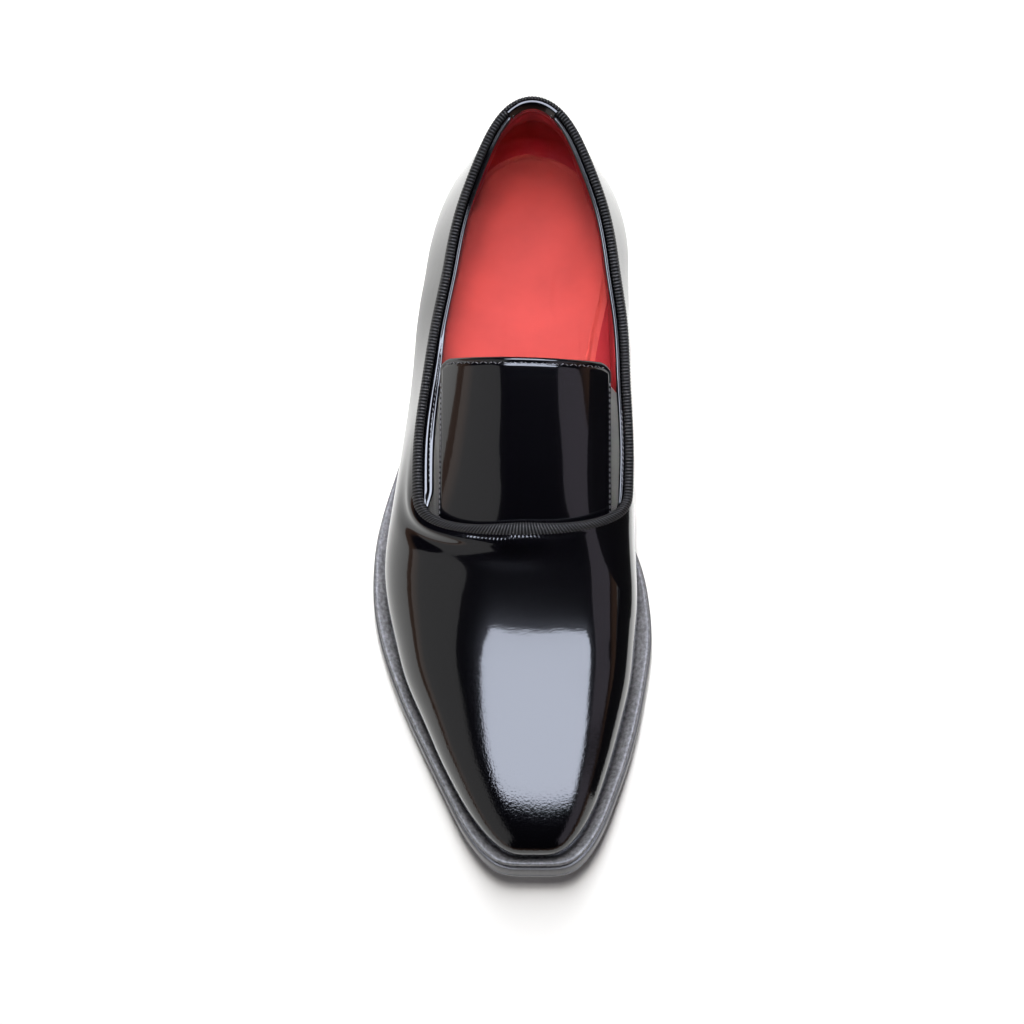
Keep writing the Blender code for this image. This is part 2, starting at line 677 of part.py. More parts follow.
def make_tongue(material):
    """Arched flap from under the vamp to its free tip, with rounded corners."""
    part = np.sin(np.linspace(-math.pi / 2, math.pi / 2, TONGUE_STEPS))
    run = np.linspace(0.0, 1.0, TONGUE_ROWS)
    across = TONGUE_MID + TONGUE_HALF * part
    tip = tongue_tip(part)
    along = TONGUE_ROOT + (tip[:, None] - TONGUE_ROOT) * run[None, :]
    across = np.repeat(across[:, None], len(run), axis=1)

    def face(shift_across, shift_along):
        return tongue_height(across + shift_across, along + shift_along)

    slope = np.stack([face(-NUDGE, 0) - face(NUDGE, 0), face(0, -NUDGE) - face(0, NUDGE),
                      np.full(across.shape, 2 * NUDGE)], axis=2)
    normal = slope / np.linalg.norm(slope, axis=2)[:, :, None]
    outer = np.stack([across, along, face(0, 0)], axis=2)
    inner = outer - TONGUE_THICK * normal
    bm = bmesh.new()
    top = [[bm.verts.new(point) for point in row] for row in to_world(outer)]
    low = [[bm.verts.new(point) for point in row] for row in to_world(inner)]
    last_i, last_j = len(top) - 1, len(top[0]) - 1
    for sheet in (top, low):
        for i in range(last_i):
            for j in range(last_j):
                bm.faces.new((sheet[i][j], sheet[i + 1][j], sheet[i + 1][j + 1], sheet[i][j + 1]))
    border = ([(i, 0) for i in range(last_i)] + [(last_i, j) for j in range(last_j)]
              + [(i, last_j) for i in range(last_i, 0, -1)] + [(0, j) for j in range(last_j, 0, -1)])
    for (i, j), (k, m) in zip(border, border[1:] + border[:1]):
        bm.faces.new((top[i][j], top[k][m], low[k][m], low[i][j]))
    return add_object("tongue", bm, material)


def make_gore(name, side, material):
    """Elastic strip from under the tongue's edge to the inside of the quarter."""
    along = np.linspace(GORE_BACK, GORE_FRONT, GORE_STEPS)
    tongue_edge = TONGUE_MID + side * (TONGUE_HALF - GORE_LAP)
    rim = COLLAR_LAT(along) if side < 0 else COLLAR_MED(along)
    wall = rim - side * (WALL + GORE_INSIDE)
    high = tongue_height(np.full(along.shape, tongue_edge), along) - TONGUE_THICK - GORE_DROP
    low = COLLAR_HEIGHT(along) - GORE_LOW
    rings = []
    for part, rise in (
            (0.0, 0.0), (0.5, GORE_CROWN), (1.0, 0.0),
            (1.0, -GORE_DEPTH), (0.5, GORE_CROWN - GORE_DEPTH), (0.0, -GORE_DEPTH)):
        rings.append(np.stack([tongue_edge + (wall - tongue_edge) * part, along,
                               high + (low - high) * part + rise], axis=1))
    return add_object(name, join_rings(np.stack(rings, axis=1), closed=False), material)


def main():
    for item in list(bpy.data.objects):
        bpy.data.objects.remove(item, do_unlink=True)
    finish = {name: make_material(name) for name in MATERIALS}
    make_outsole(finish["sole_rubber"])
    make_heel(finish["sole_rubber"])
    make_welt(finish["welt_leather"])
    make_insole(finish["sock_leather"])
    make_upper(finish["patent_leather"])
    make_tongue(finish["patent_leather"])
    make_gore("gore_lateral", -1, finish["elastic"])
    make_gore("gore_medial", 1, finish["elastic"])
    make_binding(finish["ribbed_ribbon"])
    make_facing(finish["patent_leather"])
    make_heel_tab(finish["patent_leather"])


main()
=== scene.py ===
"""Looks of a right-foot patent leather loafer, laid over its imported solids.

The shoe stands on Z = 0, toe towards -Y, heel towards +Y, lateral side -X and medial side +X.
Tables and shape functions are in millimetres: "along" is the distance from the back of the
sole, "across" is X, and "place" runs once round the upper, from 0 at the back of the heel by
the lateral side, the toe and the medial side to 1.
"""
import math

import bmesh
import bpy
import numpy as np
from bpy.props import FloatProperty, FloatVectorProperty, PointerProperty
from mathutils import Matrix, Vector


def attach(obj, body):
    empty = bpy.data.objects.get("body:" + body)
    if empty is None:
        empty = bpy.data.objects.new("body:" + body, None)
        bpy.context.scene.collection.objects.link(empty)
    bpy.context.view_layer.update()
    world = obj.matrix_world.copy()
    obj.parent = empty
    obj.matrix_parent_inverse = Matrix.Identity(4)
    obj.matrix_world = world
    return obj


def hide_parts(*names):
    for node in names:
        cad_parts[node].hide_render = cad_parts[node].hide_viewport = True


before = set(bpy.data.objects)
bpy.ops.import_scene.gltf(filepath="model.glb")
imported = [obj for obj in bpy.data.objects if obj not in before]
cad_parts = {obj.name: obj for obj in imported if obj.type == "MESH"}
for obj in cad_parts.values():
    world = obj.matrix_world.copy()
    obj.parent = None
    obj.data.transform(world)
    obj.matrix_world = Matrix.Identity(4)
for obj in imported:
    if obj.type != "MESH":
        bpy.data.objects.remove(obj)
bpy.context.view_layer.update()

bl_info = {
    "name": "Patent leather loafer",
    "version": (1, 0, 0),
    "blender": (4, 5, 0),
    "location": "View3D > Sidebar > Loafer",
    "description": "Builds the visible pieces of a right-foot patent leather loafer and its stage",
    "category": "Object",
}

MM = 0.001
GAP = 0.3                       # air between pieces that touch
BODY = "root"

# Sole unit
SOLE_LENGTH = 306.0
HEEL_HEIGHT = 18.0
HEEL_BREAST = 74.0              # along, front face of the heel
WAIST_BACK = 70.0               # along, where the heel's level starts to fall
TREAD_BACK, TREAD_FRONT = 162.0, 204.0      # flat stretch under the ball
TOE_SPRING = 11.0
SOLE_THICK = 6.8
WELT_THICK = 3.0
WELT_OUT = 0.6                  # sole edge beyond the welt
WELT_SEAT = 1.9                 # welt's inner edge inside the feather line
INSOLE_INSET = 2.6              # sock's edge inside the feather line
INSOLE_RISE = 1.6               # sock's top above the feather line

# Upper
WALL = 2.2                      # leather and lining together
TOE_FRONT = 300.3               # along, front of the upper
HEEL_BACK = 1.6                 # along, back of the upper
TOE_ROLL = 38.0                 # length over which the toe rolls down to its front
CORNER = 160.0                  # along, corners of the throat
THROAT_DEPTH = 20.3             # throat's edge ahead of its corners
THROAT_SQUARE = 2.3
SIDE_BLEND = 42.0               # quarters run into the vamp over this length
RIM_BLEND = 32.0                # collar runs into the throat's corners over this length
SHOULDER = 0.5                  # part of the half width over which the shoulders change
QUARTER_RISE = 0.92             # power of the quarters' section
TUCK_TURN = math.radians(65.0)  # how far the wall turns under at the feather line

# Collar and tongue
BINDING = 3.5                   # ribbon's thickness over the edge
RIBBON_FOLD = 5.2               # ribbon from its fold to its edge on the leather
RIBBON_SQUARE = 2.5             # power of its section
FACING_OUT = 3.2                # facing's outer face inside the upper's outer face
FACING_TOP, FACING_LOW = 3.5, -6.5          # facing, from the upper's rim
FACING_END = 0.004              # its level top ends this part of the perimeter behind the corners
FACING_RUN = 0.016              # its ends run on under the throat's ribbon for this part
FACING_DIVE = 3.0               # lower at its ends
FACING_SINK = 0.9               # lower under the tab
FACING_THIN = 0.6               # part of its thickness that is lost in both places
FACING_LEGS = (FACING_TOP - FACING_LOW, 6.0, 2.5)       # its legs, below its top
FACING_BACK = (2.7, 2.4, 2.95)  # its back leg inside the upper's face
FACING_EDGE = 1.15              # radius of its top edges where it is wide
FACING_FULL = (3.2, 2.4)        # its top goes from two edges to one round at these thicknesses
FACING_SPLIT = (2.0, 3.2)       # its groove goes from thin to wide at these
WIDE_GROOVE = (0.6, 0.52, 0.13)             # depth, share across and reach
THIN_GROOVE = (0.35, 0.3, 0.09)
TAB_WIDTH, TAB_LEG, TAB_SKIN = 25.0, 5.0, 0.4
TAB_COVER = (2.0, -1.0)         # facing thins past the tab's ends over this stretch
TAB_TOP, TAB_CREST = 4.6, 2.1   # tab's crest above the rim and inside the upper's face
TAB_ROUND = 1.6                 # radius of its crest
TAB_CREST_TURN = (35.0, -40.0)  # degrees, inner and outer end of its crest
TAB_INSIDE = 4.7                # its inner face inside the upper's face
TAB_LEG_ROWS = (0.0, 0.8, 1.6, 2.4)         # heights on its leg
TAB_BEND = (1.0, 0.8)           # bend from leg to crest, inwards and upwards
TAB_BEND_DROP, TAB_BEND_TURN = 2.6, 50.0    # its middle below the crest, and degrees
TONGUE_THICK = 2.2
TONGUE_MID, TONGUE_HALF = 6.4, 34.2         # across, and half its width
TONGUE_TIP, TONGUE_ROOT = 117.8, 196.0      # along
TONGUE_BOW = 6.5                # tip's corners behind its middle
TONGUE_SLANT = 0.8              # medial end of the tip ahead of its middle
TONGUE_CORNER = 5.0
TONGUE_ARCH = 2.0               # power of its section
TONGUE_ROUND = 1.1              # its edges are rounded over this width
TONGUE_CROWD = 1.5              # its rows crowd towards the tip
TONGUE_FLARE, FLARE_RUN = 0.7, (122.0, 165.0)           # its lateral edge widens over this run
SIDE_RUN, TIP_RUN = 1.5, 1.25   # length on its slope for each length in plan
SIDE_SEAM, TIP_SEAM = (1.3, 0.55), (2.6, 0.6)           # seams in from its edges, and reach
SEAM_CLEAR = (1.0, 4.0)         # a seam's groove starts this far from the edge that it meets
UNDER_TOP, UNDER_LOW = 0.1, 0.6             # its lining below it
UNDER_PART, UNDER_ROW = 0.93, 18            # lining's side edges and first row
UNDER_SKIP = 2, 3               # it has one of so many columns and rows of the tongue
GORE_DEPTH = 1.6
GORE_DROP = 3.4                 # gore's inner edge below the tongue
GORE_LAP = 5.0                  # how far it goes under the tongue
GORE_INSIDE = 1.6               # its outer edge inside the upper's wall
GORE_LOW = 13.0                 # its outer edge below the collar
GORE_CROWN = 0.8                # its middle above a straight line
GORE_HEM, GORE_HEM_RUN = 0.35, (3.2, 2.6)   # turned end, and where it steps down
GORE_SPREAD = 0.044             # metres across its weave
GORE_BACK, GORE_FRONT = 117.0, 166.0        # along
GORE_UNDER = 10.0               # its front end runs on under the vamp

# Facets of each piece, and steps of the curves they are taken from
DENSE, TUCK_DENSE, RUN_DENSE, FEATHER_DENSE = 1500, 40, 260, 401
SKIN_QUARTER, SKIN_VAMP, SKIN_ROWS, SKIN_INNER_ROWS = 110, 250, 100, 10
LINING_QUARTER, LINING_VAMP, LINING_ROWS = 70, 120, 60
LINING_NEAR, LINING_FAR, LINING_BACK_ROWS = 16, 26, 14
RIM_STEPS, RIB_STEPS, RIBBON_STEPS = 1200, 6, 19
FACING_STEPS, FACING_ROWS, TAB_STEPS, TAB_BEND_STEPS, TAB_CREST_STEPS = 440, 26, 60, 6, 18
TONGUE_COLUMNS, TONGUE_ROWS, GORE_STEPS, GORE_ROWS = 150, 110, 80, 26
SOCK_STEPS, SOCK_ACROSS, SOLE_STEPS, SOLE_ACROSS = 110, 64, 200, 20
WELT_STEPS, WELT_ROWS, HEEL_STEPS = 220, 14, 61
SIDE_STEPS, TIP_STEPS = 400, 300
HALVINGS, RAY_REACH = 50, 160.0             # of the search along a ray
NUDGE, NUDGE_PLACE, NUDGE_ROW = 0.2, 0.0015, 0.004      # steps that slopes are taken over
TINY = 1e-6                     # least half width that is divided by
SHARP_ANGLE = math.radians(50.0)
WELD = 2e-7                     # metres

# Plan of the sole edge: the ends are rounded off by END_SHAPE
SOLE_PLAN = np.array([
    # along, lateral, medial
    (0.0, -30.0, 43.0),
    (60.0, -32.5, 42.5),
    (90.0, -37.0, 36.0),
    (110.0, -40.0, 32.5),
    (130.0, -45.0, 34.0),
    (148.0, -50.9, 40.0),
    (165.0, -55.0, 47.5),
    (180.0, -56.2, 52.8),
    (191.0, -55.9, 54.8),
    (207.0, -53.2, 55.9),
    (224.0, -48.0, 54.1),
    (241.0, -41.2, 51.2),
    (258.0, -33.4, 47.2),
    (274.0, -25.8, 42.2),
    (306.0, -10.4, 30.8)])

# Sections of the upper: its widest line, how far that draws in and stands above the
# feather line, the ridge over it and how round each shoulder is
LAST = np.array([
    # along, lateral, medial, tuck_lat, tuck_med, rise_lat, rise_med,
    # ridge, lean, soft_lat, soft_med
    (0.0, -33.3, 47.7, 3.8, 5.2, 13.0, 13.0, 120.0, -0.17, 0.50, 0.28),
    (60.0, -34.9, 46.6, 3.4, 5.6, 14.0, 16.0, 112.0, -0.17, 0.50, 0.28),
    (82.0, -38.0, 46.8, 3.4, 10.1, 15.0, 22.0, 106.0, -0.17, 0.50, 0.28),
    (108.0, -40.4, 47.6, 3.3, 15.0, 15.0, 25.0, 98.0, -0.17, 0.50, 0.28),
    (134.0, -44.3, 48.6, 3.0, 13.0, 14.0, 22.0, 88.0, -0.17, 0.50, 0.28),
    (160.0, -48.5, 49.3, 2.5, 5.0, 12.0, 16.0, 75.5, -0.17, 0.50, 0.27),
    (177.0, -51.0, 49.6, 2.1, 2.4, 10.0, 11.5, 65.8, -0.16, 0.50, 0.33),
    (194.0, -49.9, 50.6, 2.0, 2.0, 9.0, 9.0, 57.6, -0.14, 0.50, 0.39),
    (211.0, -46.2, 49.5, 1.9, 1.9, 8.0, 8.0, 51.2, -0.11, 0.50, 0.43),
    (228.0, -41.5, 47.8, 1.7, 1.7, 7.4, 7.4, 46.2, -0.08, 0.49, 0.44),
    (244.0, -34.6, 44.4, 1.6, 1.6, 6.8, 6.8, 42.4, -0.05, 0.48, 0.45),
    (261.0, -27.2, 40.1, 1.4, 1.4, 6.2, 6.2, 39.4, -0.03, 0.47, 0.45),
    (278.0, -18.6, 34.8, 1.3, 1.3, 5.6, 5.6, 37.4, -0.01, 0.46, 0.45),
    (299.0, -7.6, 27.6, 1.2, 1.2, 5.0, 5.0, 35.6, 0.0, 0.45, 0.45)])

# Cut edge of the collar, from the back of the heel to the corners of the throat
COLLAR = np.array([
    # along, lateral, medial, height
    (6.4, -21.0, 38.0, 87.0),
    (25.0, -20.3, 37.6, 80.0),
    (45.0, -23.2, 40.1, 70.5),
    (66.0, -26.3, 42.5, 64.0),
    (90.0, -31.2, 45.9, 59.5),
    (115.0, -35.0, 47.2, 56.0),
    (140.0, -38.0, 48.4, 52.8),
    (160.0, -38.2, 48.4, 50.8)])

# Tongue's middle line and how far its edges hang below it
TONGUE = np.array([
    # along, middle, hang
    (104.0, 98.5, 26.0),
    (115.0, 94.4, 24.5),
    (140.0, 82.4, 20.5),
    (160.0, 71.6, 17.0),
    (179.0, 60.2, 13.0),
    (200.0, 50.0, 11.0)])

# Thickness of the facing by its place on the perimeter, below 0 on the medial side
FACING = np.array([
    # place, thick
    (-0.30, 1.8),
    (-0.05, 1.8),
    (0.05, 1.6),
    (0.12, 1.8),
    (0.18, 2.2),
    (0.21, 3.3),
    (0.25, 4.2),
    (0.30, 4.8)])

# Rounded ends: power and squareness of each
END_SHAPE = {
    "heel": (2.0, 2.0),
    "sole_toe": (2.6, 4.8),
    "upper_toe": (2.6, 3.8),
    "roll": (2.6, 2.0)}
HEEL_START, COLLAR_START, TOE_START = 60.0, 66.0, 273.0
SOLE_TOE_START = 280.0

# Outsole edge, from its bottom to its top: inset and rise, with a fine groove
SOLE_EDGE = np.array([
    # inset, rise
    (1.0, 0.0),
    (0.45, 0.2),
    (0.15, 0.6),
    (0.0, 1.2),
    (0.0, 1.5),
    (0.3, 1.65),
    (0.4, 1.8),
    (0.3, 1.95),
    (0.0, 2.1),
    (0.0, 2.4),
    (0.0, 4.0),
    (0.0, 6.1),
    (0.12, 6.5),
    (0.5, SOLE_THICK)])

# Welt from its bottom outer edge over its rim to the groove beside the upper
WELT_RIM = np.array([
    # inset, rise
    (0.3, 0.0),
    (0.05, 0.35),
    (0.0, 1.05),
    (0.0, 2.0),
    (0.1, 2.45),
    (0.35, 2.8),
    (0.8, WELT_THICK),
    (1.3, 2.98)])
WELT_GROOVE = (2.3, 0.62, 0.36)             # depth, share across and reach

# Heel from its tread to its top, with the grooves between its lifts
HEEL_EDGE = np.array([
    # inset, rise
    (2.5, 0.0),
    (1.9, 0.25),
    (1.5, 0.9),
    (1.25, 5.6),
    (1.55, 5.8),
    (1.22, 6.0),
    (1.12, 11.6),
    (1.42, 11.8),
    (1.1, 12.0),
    (1.0, HEEL_HEIGHT - GAP)])

# Sock's edge, from the board's underside over its turned rim, from its own height
SOCK_EDGE = (
    # inset, rise
    (0.0, -INSOLE_RISE - WELT_THICK),
    (0.0, -0.9),
    (-0.6, -0.4),
    (-1.5, 0.0),
    (-1.7, 0.2),
    (-1.4, 0.35),
    (-0.6, 0.2),
    (0.1, 0.08),
    (0.9, 0.0))
SOCK_CUP, SOCK_CUP_RUN = 6, (12.0, 45.0)    # power of its cup, and along where the cup sets in
SOCK_CREASES = (
    # across, along, turn in degrees, half length, half width, bend, share of the depth
    (16.5, 69.0, 88.0, 13.0, 0.9, -0.016, 0.8),
    (33.0, 69.0, 62.0, 6.5, 0.8, 0.02, 0.7),
    (27.5, 88.0, 84.0, 5.0, 0.8, 0.0, 0.6),
    (11.0, 18.0, -10.0, 7.0, 1.3, 0.0, 0.5),
    (3.0, 31.0, -3.0, 9.0, 1.1, 0.004, 0.5),
    (-15.0, 50.0, 4.0, 5.0, 0.9, 0.0, 0.5),
    (-2.4, 81.0, 90.0, 6.0, 1.4, 0.0, 0.4))
CREASE_DIP, CREASE_ASIDE = 0.6, 1.8         # dip beside each crease, and how far aside

# Skin of the upper. A run is where a detail is 0 and where it is full at its two ends round
# the perimeter, and a ridge is its middle below the rim and its reach
SKIN_DEPTH = 1.2
SKIN_FOOT = 1.7                 # its lower edge runs down into the welt's groove
RIM_CROWD = 1.25                # its rows crowd towards the rim
EASE_ROUNDS, EASE_REACH, EASE_SHARE = 60, 0.05, 0.5     # easing beside the throat's corners
SOFTEN_ROUNDS = 25              # easing of the ways along the rim
THROAT_RUN, ROLL_RIDGE, TROUGH_RIDGE = ((0.25, 0.32), (0.62, 0.5)), (4.2, 2.6), (10.0, 4.2)
BEAD_RUN, BEAD_RIDGE = ((0.42, 0.47), (0.61, 0.56)), (2.2, 1.1)
PUCKER_RUN, PUCKER_RIDGE = ((0.33, 0.37), (0.67, 0.63)), (1.9, 0.8)
CORNER_FOLD = (2.2, 0.335, 0.03)            # growth, place and reach of the lateral corner's fold

# Lining, held behind the facing along the quarters and laid on the wall elsewhere
LINING_OUT, LINING_IN = 1.35, 2.3           # its two faces inside the upper's face
LINING_RUN = ((0.24, 0.20), (-0.25, -0.215))        # where it is held, below 0 on the medial side
LINING_HEEL = (0.075, 0.03)     # places between which it draws up behind the tab
LINING_EDGE, LINING_SINK = 1.8, 30.0        # its edge below the rim, and lower where it isn't held
LINING_STAND = 2.2              # its face stands this far in from the facing
LINING_LIFT = 1.2               # its edge is higher and its stand less behind the tab
LINING_DEEP, LINING_LEAST = 26.0, 4.0       # it has come back to the wall below here
LINING_EASE = 7.5               # it stands fully in above here
LINING_TURN = (2.0, 1.1, 0.3)   # rounding of its edge
LINING_BACK = (5.8, 4.2, 1.8, 0.0)          # its back, below its edge
LINING_WAVES = ((0.12, 5.3), (0.1, 2.1))    # height and length of its unevenness

# Stitches
STITCH_FILL, STITCH_FLAT = 0.78, 0.8        # share of the pitch, and of the width in height
STITCH_PROUD, TIP_ZIGZAG = 0.02, 0.5
TIP_PART = 0.93                 # tip's seam ends at this part of the half width
STITCH_ENDS = (1.0, 12.0)       # first and last on the tongue's sides, from its tip and root
STITCH_NUDGE, COLLAR_NUDGE = 0.4, 0.5       # steps for a seam's way, on tongue and facing
COLLAR_CLEAR = 2.0              # facing's seam ends this far from its ends
COLLAR_SEAM = (-0.24, 0.19)     # that seam shows before and after these places
COLLAR_SHARE = (0.15, 0.52)     # its share of the facing's width, medial and lateral
COLLAR_PROUD, COLLAR_SLANT = 0.05, 0.35
BAR_IN, BAR_LENGTH, BAR_WIDE = 1.2, 0.0017, 1.3         # bars at the tab's ends
BAR_PLACES = ((0.0, -3.6), (-0.5, -2.1), (-2.0, -1.3))  # from its inner face and its crest

# Finishes. A grain is its scale per metre, depth in metres and stretch, and a tone is its
# scale per metre and its darkest and lightest share of the colour
RED_GRAINS, RED_TONE = ((160.0, 0.00006, None), (1800.0, 0.00003, None)), (60.0, 0.91, 1.08)
GRAINED = {
    # colour, roughness, gloss, grains, tone
    "sock_finish": ("sock", 0.5, 0.1, RED_GRAINS, RED_TONE),
    "lining_finish": ("lining", 0.5, 0.1, RED_GRAINS, RED_TONE),
    "welt_finish": ("welt", 0.42, 0.5, ((1300.0, 0.00016, None),), (700.0, 0.55, 1.6)),
    "sole_finish": (
        "sole", 0.38, 0.5, ((1.0, 0.00006, (900.0, 900.0, 120.0)),), (500.0, 0.9, 1.12)),
    "thread_finish": ("thread", 0.32, 0.6, ((3500.0, 0.00005, None),), None),
    "floor_finish": ("floor", 1.0, 0.0, (), (6.0, 0.99, 1.0))}
GRAIN_DETAIL, TONE_DETAIL, TONE_STOPS = 2.0, 3.0, (0.3, 0.7)
LEATHER_COAT, EDGE_COAT = 1.5, 1.66         # index of the clear coat on leather and folded edges
PATENT_WAVE, PATENT_PEEL = (95.0, 0.00003), (1300.0, 0.000055)      # scale and depth
PEEL_RUN, PEEL_LEAST = (-0.07, -0.12), 0.12             # it grows over these Y, from this share
RIB_THREADS = (1.0, 0.00006)    # scale and depth
RIB_STRETCH = (900.0, 4500.0, 1.0)
# Painted shade: the ribbon's colour falls to this share of itself between the ribs, over these
# stops of the wave
RIB_PAINTED_SHADE_STOPS, RIB_PAINTED_SHADE = (0.12, 0.45), 0.05
BAND_SCALE = 2 * math.pi / 20.0             # scale of a wave texture with one band in a metre
WEAVE_SCALES, WEAVE_DEPTH, WEAVE_SHADES = (420.0, 300.0), 0.00018, (0.6, 1.7)

# Stage, in metres
FLOOR_HALF = 1.3
# Glowing table top seen only in the gloss: a painted reflection of the floor round the shoe
FLOOR_REFLECTION_RISE, FLOOR_REFLECTION_GLOW = 0.0006, 1.15
FLOOR_REFLECTION_COLOUR, CARD_COLOUR, SOFTBOX_COLOUR = (1.0, 1.0, 0.99), (0.01, 0.01, 0.01), (0.78, 0.84, 1.0)
FLOOR_REFLECTION_PARTS = (
    # place, size: left and right of the shoe, behind it and ahead of it
    ((-0.668, 0.0), (1.265, 2.6)),
    ((0.673, 0.0), (1.255, 2.6)),
    ((0.005, 0.693), (0.08, 1.215)),
    ((0.005, -0.715), (0.08, 1.17)))
CARD_BLOCKS = (
    # place, size
    ((0.134, -0.055, 0.0185), (0.1, 0.15, 0.035)),
    ((0.125, 0.0, 0.041), (0.09, 0.09, 0.08)))
SOFTBOXES = (
    # name, place, size, radius of its corners, strength
    ("panel", (0.68, -0.15, 2.4), (4.4, 1.3), 0.6, 10.2),
    ("strip", (0.3, 0.85, 2.4), (2.4, 0.6), 0.05, 14.0))
# Horizon and dark of the room in the gloss: height and colour
HORIZON = ((0.10, (0.30, 0.17, 0.11)), (0.22, (0.004, 0.004, 0.005)))
LIGHTS = (
    # name, place, aim,
    # size, radiance, colour, spread in degrees, seen in the gloss
    ("back_light", (0.0, 1.6, 2.4), (0.0, 1.6, 0.0),
     (0.5, 2.8), 18.0, (0.96, 0.98, 1.0), 180.0, False),
    ("fill_light", (0.02, 0.175, 2.4), (0.02, 0.175, 0.0),
     (0.5, 0.85), 22.0, (1.0, 0.98, 0.96), 180.0, False),
    ("inside_light", (0.05, -0.6, 2.0), (0.007, 0.05, 0.03),
     (0.08, 0.08), 3.6, (1.0, 0.97, 0.95), 7.0, False),
    ("left_light", (-1.31, -0.73, 0.80), (0.0, 0.0, 0.80),
     (1.8, 1.3), 0.5, (1.0, 1.0, 1.0), 180.0, True),
    ("right_light", (1.3, -0.75, 0.73), (0.0, 0.0, 0.73),
     (1.4, 0.72), 0.55, (0.92, 0.84, 1.0), 180.0, True))
CAMERA_PLACE, CAMERA_LENS, CAMERA_SENSOR = (0.0683, -0.616, 1.902), 173.3, 36.0
CAMERA_TILT, CAMERA_TURN = math.radians(18.0), math.radians(1.98)


def natural_spline(knots, values):
    """Smooth curve through a table's column, with straight ends."""
    count = len(knots)
    gaps = np.diff(knots)
    slopes = np.diff(values) / gaps
    system = np.eye(count)
    target = np.zeros(count)
    for i in range(1, count - 1):
        system[i, i - 1:i + 2] = gaps[i - 1], 2 * (gaps[i - 1] + gaps[i]), gaps[i]
        target[i] = 6 * (slopes[i] - slopes[i - 1])
    bend = np.linalg.solve(system, target)

    def curve(at):
        at = np.clip(np.asarray(at, float), knots[0], knots[-1])
        i = np.clip(np.searchsorted(knots, at) - 1, 0, count - 2)
        left, right = at - knots[i], knots[i + 1] - at
        return ((bend[i] * right ** 3 + bend[i + 1] * left ** 3) / (6 * gaps[i])
                + (values[i] / gaps[i] - bend[i] * gaps[i] / 6) * right
                + (values[i + 1] / gaps[i] - bend[i + 1] * gaps[i] / 6) * left)
    return curve


def columns_of(table):
    """One spline for each column of a table, by its first column."""
    return [natural_spline(table[:, 0], table[:, i]) for i in range(1, table.shape[1])]


def smooth_step(low, high, at):
    """0 below low, 1 above high, eased between."""
    part = np.clip((at - low) / (high - low), 0.0, 1.0)
    return part * part * (3.0 - 2.0 * part)


def hump(at, middle, reach):
    """Soft rise to 1 at the middle, gone past about twice the reach."""
    return np.exp(-((at - middle) / reach) ** 2)


def window(at, one_end, other_end):
    """1 between two slopes, each given by where it is 0 and where it is 1."""
    return smooth_step(*one_end, at) * smooth_step(*other_end, at)


def end_round(along, start, end, shape):
    """1 along the sides, falling to 0 at a rounded end."""
    power, square = shape
    reach = np.clip((along - start) / (end - start), 0.0, 1.0)
    return (1.0 - reach ** power) ** (1.0 / square)


class Plan:
    """A closed outline seen from above, as two sides that meet at rounded ends."""

    def __init__(self, lateral, medial, heel, toe=None):
        self.lateral, self.medial = lateral, medial
        self.heel, self.toe = heel, toe

    def middle_and_half(self, along):
        lateral, medial = self.lateral(along), self.medial(along)
        half = (medial - lateral) / 2 * end_round(along, *self.heel, END_SHAPE["heel"])
        if self.toe:
            half = half * end_round(along, *self.toe)
        return (lateral + medial) / 2, half

    def side_line(self, side, front):
        """Dense points of one side from the heel's back to the section at front."""
        ease = (1.0 - np.cos(np.linspace(0.0, math.pi, DENSE))) / 2
        back = self.heel[1]
        along = back + (front - back) * ease
        middle, half = self.middle_and_half(along)
        return np.stack([middle + side * half, along], axis=1)


def lengths_of(line):
    """Length of a line up to each of its points."""
    return np.concatenate([[0.0], np.cumsum(np.linalg.norm(np.diff(line, axis=0), axis=1))])


def points_at(line, length, at):
    """Points of a line, or values along it, at lengths."""
    return np.stack([np.interp(at, length, column) for column in line.T], axis=-1)


def by_length(line, fractions):
    """Points of a line at fractions of its length."""
    length = lengths_of(line)
    return points_at(line, length, np.asarray(fractions) * length[-1])


SOLE_LAT, SOLE_MED = columns_of(SOLE_PLAN)
(LAST_LAT, LAST_MED, TUCK_LAT, TUCK_MED, RISE_LAT, RISE_MED,
 RIDGE, LEAN, SOFT_LAT, SOFT_MED) = columns_of(LAST)
COLLAR_LAT, COLLAR_MED, COLLAR_HEIGHT = columns_of(COLLAR)
TONGUE_MIDDLE, TONGUE_HANG = columns_of(TONGUE)
FACING_THICK, = columns_of(FACING)

SOLE = Plan(SOLE_LAT, SOLE_MED, (HEEL_START, 0.0),
            (SOLE_TOE_START, SOLE_LENGTH, END_SHAPE["sole_toe"]))
SWELL = Plan(LAST_LAT, LAST_MED, (HEEL_START, HEEL_BACK),
             (TOE_START, TOE_FRONT, END_SHAPE["upper_toe"]))
RIM = Plan(COLLAR_LAT, COLLAR_MED, (COLLAR_START, COLLAR[0, 0]))

# Perimeter of the upper, from the heel's back by the lateral side, toe and medial side
LATERAL_END, MEDIAL_START = 0.3, 0.7
THROAT_MIDDLE = (COLLAR_LAT(CORNER) + COLLAR_MED(CORNER)) / 2
THROAT_HALF = (COLLAR_MED(CORNER) - COLLAR_LAT(CORNER)) / 2


def sole_bottom(along):
    """Height of the outsole's underside: heel, waist, flat tread and toe spring."""
    waist = smooth_step(TREAD_BACK, WAIST_BACK, along)
    spring = np.clip((along - TREAD_FRONT) / (SOLE_LENGTH - TREAD_FRONT), 0.0, None)
    return HEEL_HEIGHT * waist + TOE_SPRING * spring ** 2


def sole_top(along):
    return sole_bottom(along) + SOLE_THICK


def welt_top(along):
    return sole_top(along) + GAP + WELT_THICK


